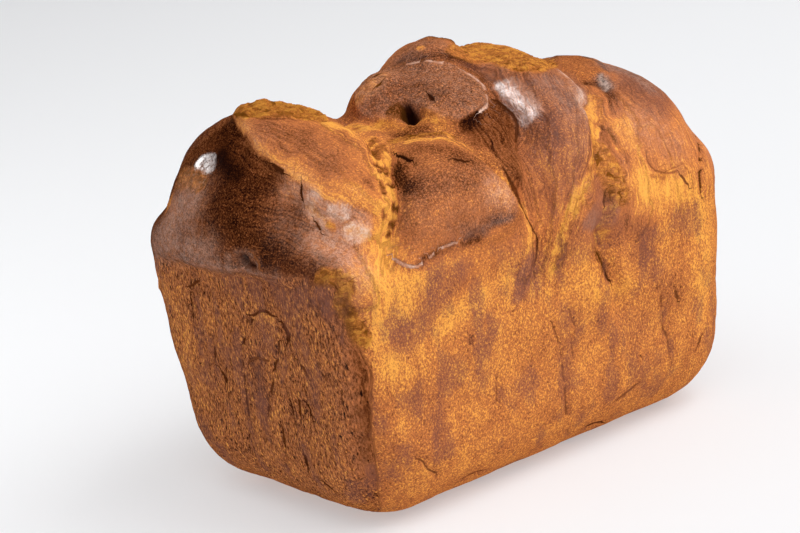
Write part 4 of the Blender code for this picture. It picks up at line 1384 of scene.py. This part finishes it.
def makeLoaf():
    # The grid moved out by its heights, with every field as an attribute of its points
    mesh = bpy.data.meshes.new("brioche")
    mesh.from_pydata(surface.tolist(), [], quads.tolist() + [underneath.tolist()])
    mesh.polygons.foreach_set("use_smooth", np.ones(len(mesh.polygons), bool))
    for key, field in (fields | cuts).items():
        layer = mesh.attributes.new(key, "FLOAT", "POINT")
        layer.data.foreach_set("value", np.clip(field, *fieldRange.get(key, (0, 1))).astype(np.float32))
    layer = mesh.attributes.new("strand", "FLOAT_VECTOR", "POINT")
    layer.data.foreach_set("vector", strand.astype(np.float32).ravel())
    mesh.update()
    piece = bpy.data.objects.new("brioche", mesh)
    bpy.context.scene.collection.objects.link(piece)
    return piece


# Crust material

crustColours = (
    (0.00, (0.95, 0.430, 0.080)),
    (0.25, (0.64, 0.208, 0.057)),
    (0.45, (0.44, 0.136, 0.047)),
    (0.60, (0.28, 0.088, 0.028)),
    (0.75, (0.14, 0.037, 0.010)),
    (0.90, (0.05, 0.012, 0.0035)),
    (1.00, (0.012, 0.003, 0.002)),
)

crustSurface = {
    # pale colour of peeled skin, also used for painted sheen and highlights
    "filmAndSheenColour": (0.80, 0.585, 0.48, 1),
    "stainColour": (0.25, 0.09, 0.06, 1),
    "crumbColour": (0.56, 0.19, 0.022, 1),
    "crumbTint": 0.38,
    "bend": (0.0009, 0.0009, 0.0009),
    "threadScale": (1250, 90, 1000),
    "tornTurn": (0, 0, math.radians(-36.85)),
    "tornStretch": (2.2, 1, 1),
    "dotEdge": 0.6,
    "cutRagged": 0.9,
    "coatRoughness": 0.16,
    "specular": 0.0,
    "bumpHeight": 0.00042,
    # Scale, detail and roughness
    "noises": {
        "bendNoise": (700, 2, 0.5),
        "mottleNoise": (190, 4, 0.6),
        "speckleNoise": (1800, 3, 0.74),
        "tallSpeckleNoise": (1800, 3, 0.74),
        "threads": (1, 4, 0.68),
        "tornNoise": (560, 4, 0.72),
        "filmNoise": (480, 4, 0.65),
        "shineNoise": (330, 4, 0.65),
        "wrinkles": (620, 3, 0.55),
    },
    # Spread about nought
    "spreads": {"mottle": 0.32, "grainCentred": 4, "strandsCentred": 3, "torn": 4, "cutNoise": 3},
    # Scale of the cells, the draws between which they begin to be chosen, and size in cells
    "dots": {"pores": (700, 0.36, 0.50, 0.33), "flecks": (1000, 0.50, 0.65, 0.48)},
    # Low and high of what comes in, and what goes out at each
    "ranges": {
        "tallShare": (0.55, 0.85, 0.75, 0.36),
        "grainLift": (0, 1, 1.35, 1.05),
        "grainDip": (0, 1, 0.6, 0.9),
        "cutEdge": (0.6, 1.3, 1, 0),
        "stainSpecks": (0.44, 0.62, 0.85, 0.3),
        "filmPatches": (0.38, 0.62, 0.3, 1),
        "filmSpecks": (0.40, 0.54, 0.45, 1),
        "shinePatches": (0.34, 0.56, 0.35, 1),
        "shineCracks": (0.40, 0.52, 0.12, 1),
        "shineShare": (0.10, 1, 0, 1),
        "roughness": (0, 1, 0.80, 0.60),
        "bumpStrength": (0.4, 0.9, 0.9, 0.35),
    },
    "bakeShifts": {
        "bakeGrained": -0.60,
        "bakeStranded": -0.50,
        "bakeTorn": -0.70,
        "bakeFlecked": -0.26,
        "bakePored": 0.44,
    },
    "reliefs": {
        "wrinkleRelief": 0.9,
        "grainRelief": 0.45,
        "poreRelief": -1.2,
        "strandRelief": 0.6,
        "crumbRelief": 1.8,
        "cutRelief": -1.4,
    },
}


def crustMaterial(finish):
    # The bake, moved by mottling, grain, strands, crags, flecks, and by painted shade in pores and cracks,
    # picks a colour from the ramp, which crumb, stain and the film with its painted sheen tint; gloss gives
    # a broken thin coat
    material = bpy.data.materials.new("bakedCrust")
    material.use_nodes = True
    tree = material.node_tree
    tree.nodes.clear()
    node = partial(addNode, tree)

    def attribute(name, output="Fac"):
        return node("ShaderNodeAttribute", name, attribute_name=name).outputs[output]

    def maths(operation, name, first, second=0.5, third=0.0, clamp=False):
        inputs = {0: first, 1: second, 2: third}
        return node("ShaderNodeMath", name, inputs, operation=operation, use_clamp=clamp).outputs[0]

    def vector(operation, name, *inputs):
        return node("ShaderNodeVectorMath", name, dict(enumerate(inputs)), operation=operation).outputs[0]

    def times(name, first, second, clamp=False):
        return maths("MULTIPLY", name, first, second, clamp=clamp)

    def noise(name, place, output="Fac"):
        scale, detail, roughness = finish["noises"][name]
        inputs = {"Vector": place, "Scale": scale, "Detail": detail, "Roughness": roughness}
        return node("ShaderNodeTexNoise", name, inputs).outputs[output]

    def centred(name, value):
        spread = finish["spreads"][name]
        return maths("MULTIPLY_ADD", name, value, spread, -0.5 * spread)

    def ranged(name, value, limits=None):
        low, high, start, end = limits or finish["ranges"][name]
        inputs = {"Value": value, "From Min": low, "From Max": high, "To Min": start, "To Max": end}
        return node("ShaderNodeMapRange", name, inputs).outputs["Result"]

    def mixed(name, share, first, second):
        return node("ShaderNodeMix", name, {0: share, 2: first, 3: second}, data_type="FLOAT").outputs[0]

    def tinted(name, share, first, second):
        return node("ShaderNodeMix", name, {0: share, 6: first, 7: second}, data_type="RGBA").outputs[2]

    def dots(name, place):
        # Some of the cells, each with a dark middle of its own size
        scale, low, high, size = finish["dots"][name]
        inputs = {"Vector": place, "Scale": scale, "Randomness": 1.0}
        cells = node("ShaderNodeTexVoronoi", name + "Cells", inputs)
        draw = node("ShaderNodeSeparateColor", name + "Draw", {0: cells.outputs["Color"]})
        chosen = ranged(name + "Chosen", draw.outputs[0], (low, high, 0, 1))
        spread = ranged(name + "Spread", draw.outputs[1], (0, 1, size * 0.5, size))
        share = maths("DIVIDE", name + "Share", cells.outputs["Distance"], spread)
        middle = maths("SUBTRACT", name + "Middle", 1.0, share, clamp=True)
        return times(name, maths("POWER", name + "Edge", middle, finish["dotEdge"]), chosen)

    place = node("ShaderNodeTexCoord", "place").outputs["Object"]
    bake, gloss, grainShare = attribute("bake"), attribute("gloss"), attribute("grain")
    film, stain, crumb = attribute("film"), attribute("stain"), attribute("crumb")
    fibre, side, pore = attribute("fibre"), attribute("side"), attribute("pore")
    strandPlace = attribute("strand", "Vector")

    # Places bent by a fine noise, so that nothing laid on them is round or straight
    bend = vector("SUBTRACT", "bend", noise("bendNoise", place, "Color"), (0.5, 0.5, 0.5))
    bent = vector("MULTIPLY_ADD", "bent", bend, finish["bend"], place)
    tallness = node("ShaderNodeCombineXYZ", "tallness", {0: 1.0, 1: 1.0, 2: ranged("tallShare", pore)})
    tall = vector("MULTIPLY", "tallPlace", bent, tallness.outputs[0])

    # Soft mottling, speckle of the fine crust, and speckle drawn tall on the tin's sides
    mottle = centred("mottle", noise("mottleNoise", place))
    speckle = noise("speckleNoise", bent)
    speckleMix = mixed("speckleMix", side, speckle, noise("tallSpeckleNoise", tall))
    wave = centred("grainCentred", speckleMix)
    lifted = times("grainLifted", wave, ranged("grainLift", side))
    dipped = times("grainDipped", wave, ranged("grainDip", side))
    grain = times("grainHeight", maths("MAXIMUM", "grainWave", lifted, dipped), grainShare)

    # Open pores, darkened by painted shade, and pale flecks of thin crust
    pores = times("openPores", dots("pores", tall), pore)
    flecks = times("paleFlecks", dots("flecks", bent), grainShare)

    # Strands along the drawn-out paths
    inputs = {"Vector": strandPlace, "Scale": finish["threadScale"]}
    threadPlace = node("ShaderNodeMapping", "threadPlace", inputs).outputs[0]
    strands = times("strands", centred("strandsCentred", noise("threads", threadPlace)), fibre)

    # Crags and holes of torn crumb
    inputs = {"Vector": bent, "Rotation": finish["tornTurn"], "Scale": finish["tornStretch"]}
    drawn = node("ShaderNodeMapping", "drawnPlace", inputs, vector_type="TEXTURE").outputs[0]
    crags = times("crags", centred("torn", noise("tornNoise", drawn)), crumb)

    total = maths("ADD", "bakeMottled", bake, mottle)
    shares = {"bakeGrained": grain, "bakeStranded": strands, "bakeTorn": crags, "bakeFlecked": flecks}
    for name, share in shares.items():
        total = maths("MULTIPLY_ADD", name, share, finish["bakeShifts"][name], total)
    # painted shade in the open pores
    total = maths("MULTIPLY_ADD", "bakePored", pores, finish["bakeShifts"]["bakePored"], total, clamp=True)

    # Cracks and thin pale rims: the offset from the nearest line, made ragged, then a sharp edge;
    # the dark of a crack is painted shade, and the pale rim along the pillow's lip a painted highlight
    offset = attribute("cut")
    ragged = maths("MULTIPLY_ADD", "cutRagged", centred("cutNoise", speckle), finish["cutRagged"], offset)
    cut = times("cut", ranged("cutEdge", maths("ABSOLUTE", "cutGap", ragged)), attribute("cutHold"))
    total = mixed("bakeCut", cut, total, attribute("cutBake"))
    film = mixed("filmCut", cut, film, attribute("cutFilm"))

    ramp = node("ShaderNodeValToRGB", "crustColours", {"Fac": total})
    ramp.color_ramp.interpolation = "LINEAR"
    while len(ramp.color_ramp.elements) < len(crustColours):
        ramp.color_ramp.elements.new(0.5)
    for element, (position, colour) in zip(ramp.color_ramp.elements, crustColours):
        element.position = position
        element.color = (*colour, 1)
    crumbShare = times("crumbShare", crumb, finish["crumbTint"], clamp=True)
    crumbed = tinted("crumbed", crumbShare, ramp.outputs["Color"], finish["crumbColour"])
    stain = times("stainBroken", stain, ranged("stainSpecks", speckleMix))
    stained = tinted("stained", stain, crumbed, finish["stainColour"])
    filmNoise = ranged("filmPatches", noise("filmNoise", bent))
    filmNoise = times("filmSpecked", filmNoise, ranged("filmSpecks", speckleMix))
    colour = tinted("filmed", times("filmShare", film, filmNoise), stained, finish["filmAndSheenColour"])

    shinePatches = ranged("shinePatches", noise("shineNoise", bent))
    shinePatches = times("shineBroken", shinePatches, ranged("shineCracks", speckle))
    shine = times("shine", ranged("shineShare", gloss), shinePatches)
    shine = times("shineUncut", shine, maths("SUBTRACT", "uncut", 1.0, cut))

    # Height of wrinkles, grain, pores, strands, crumb and cracks under the skin
    relief = times("wrinkleRelief", noise("wrinkles", bent), finish["reliefs"]["wrinkleRelief"])
    raised = {"grainRelief": grain, "poreRelief": pores, "strandRelief": strands}
    raised |= {"crumbRelief": crags, "cutRelief": cut}
    for name, share in raised.items():
        relief = maths("MULTIPLY_ADD", name, share, finish["reliefs"][name], relief)
    inputs = {"Height": relief, "Strength": ranged("bumpStrength", gloss), "Distance": finish["bumpHeight"]}
    bump = node("ShaderNodeBump", "bump", inputs).outputs["Normal"]

    shader = node("ShaderNodeBsdfPrincipled", "crust", {
        "Base Color": colour, "Roughness": ranged("roughness", shine), "Coat Weight": shine,
        "Coat Roughness": finish["coatRoughness"], "Normal": bump, "Coat Normal": bump,
        "Specular IOR Level": finish["specular"],
    })
    node("ShaderNodeOutputMaterial", "output", {"Surface": shader.outputs["BSDF"]})
    return material


loaf = makeLoaf()
loaf.data.materials.append(crustMaterial(crustSurface))
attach(loaf, "root")
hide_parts("brioche_loaf")
print("loaf", len(loaf.data.polygons), "faces")
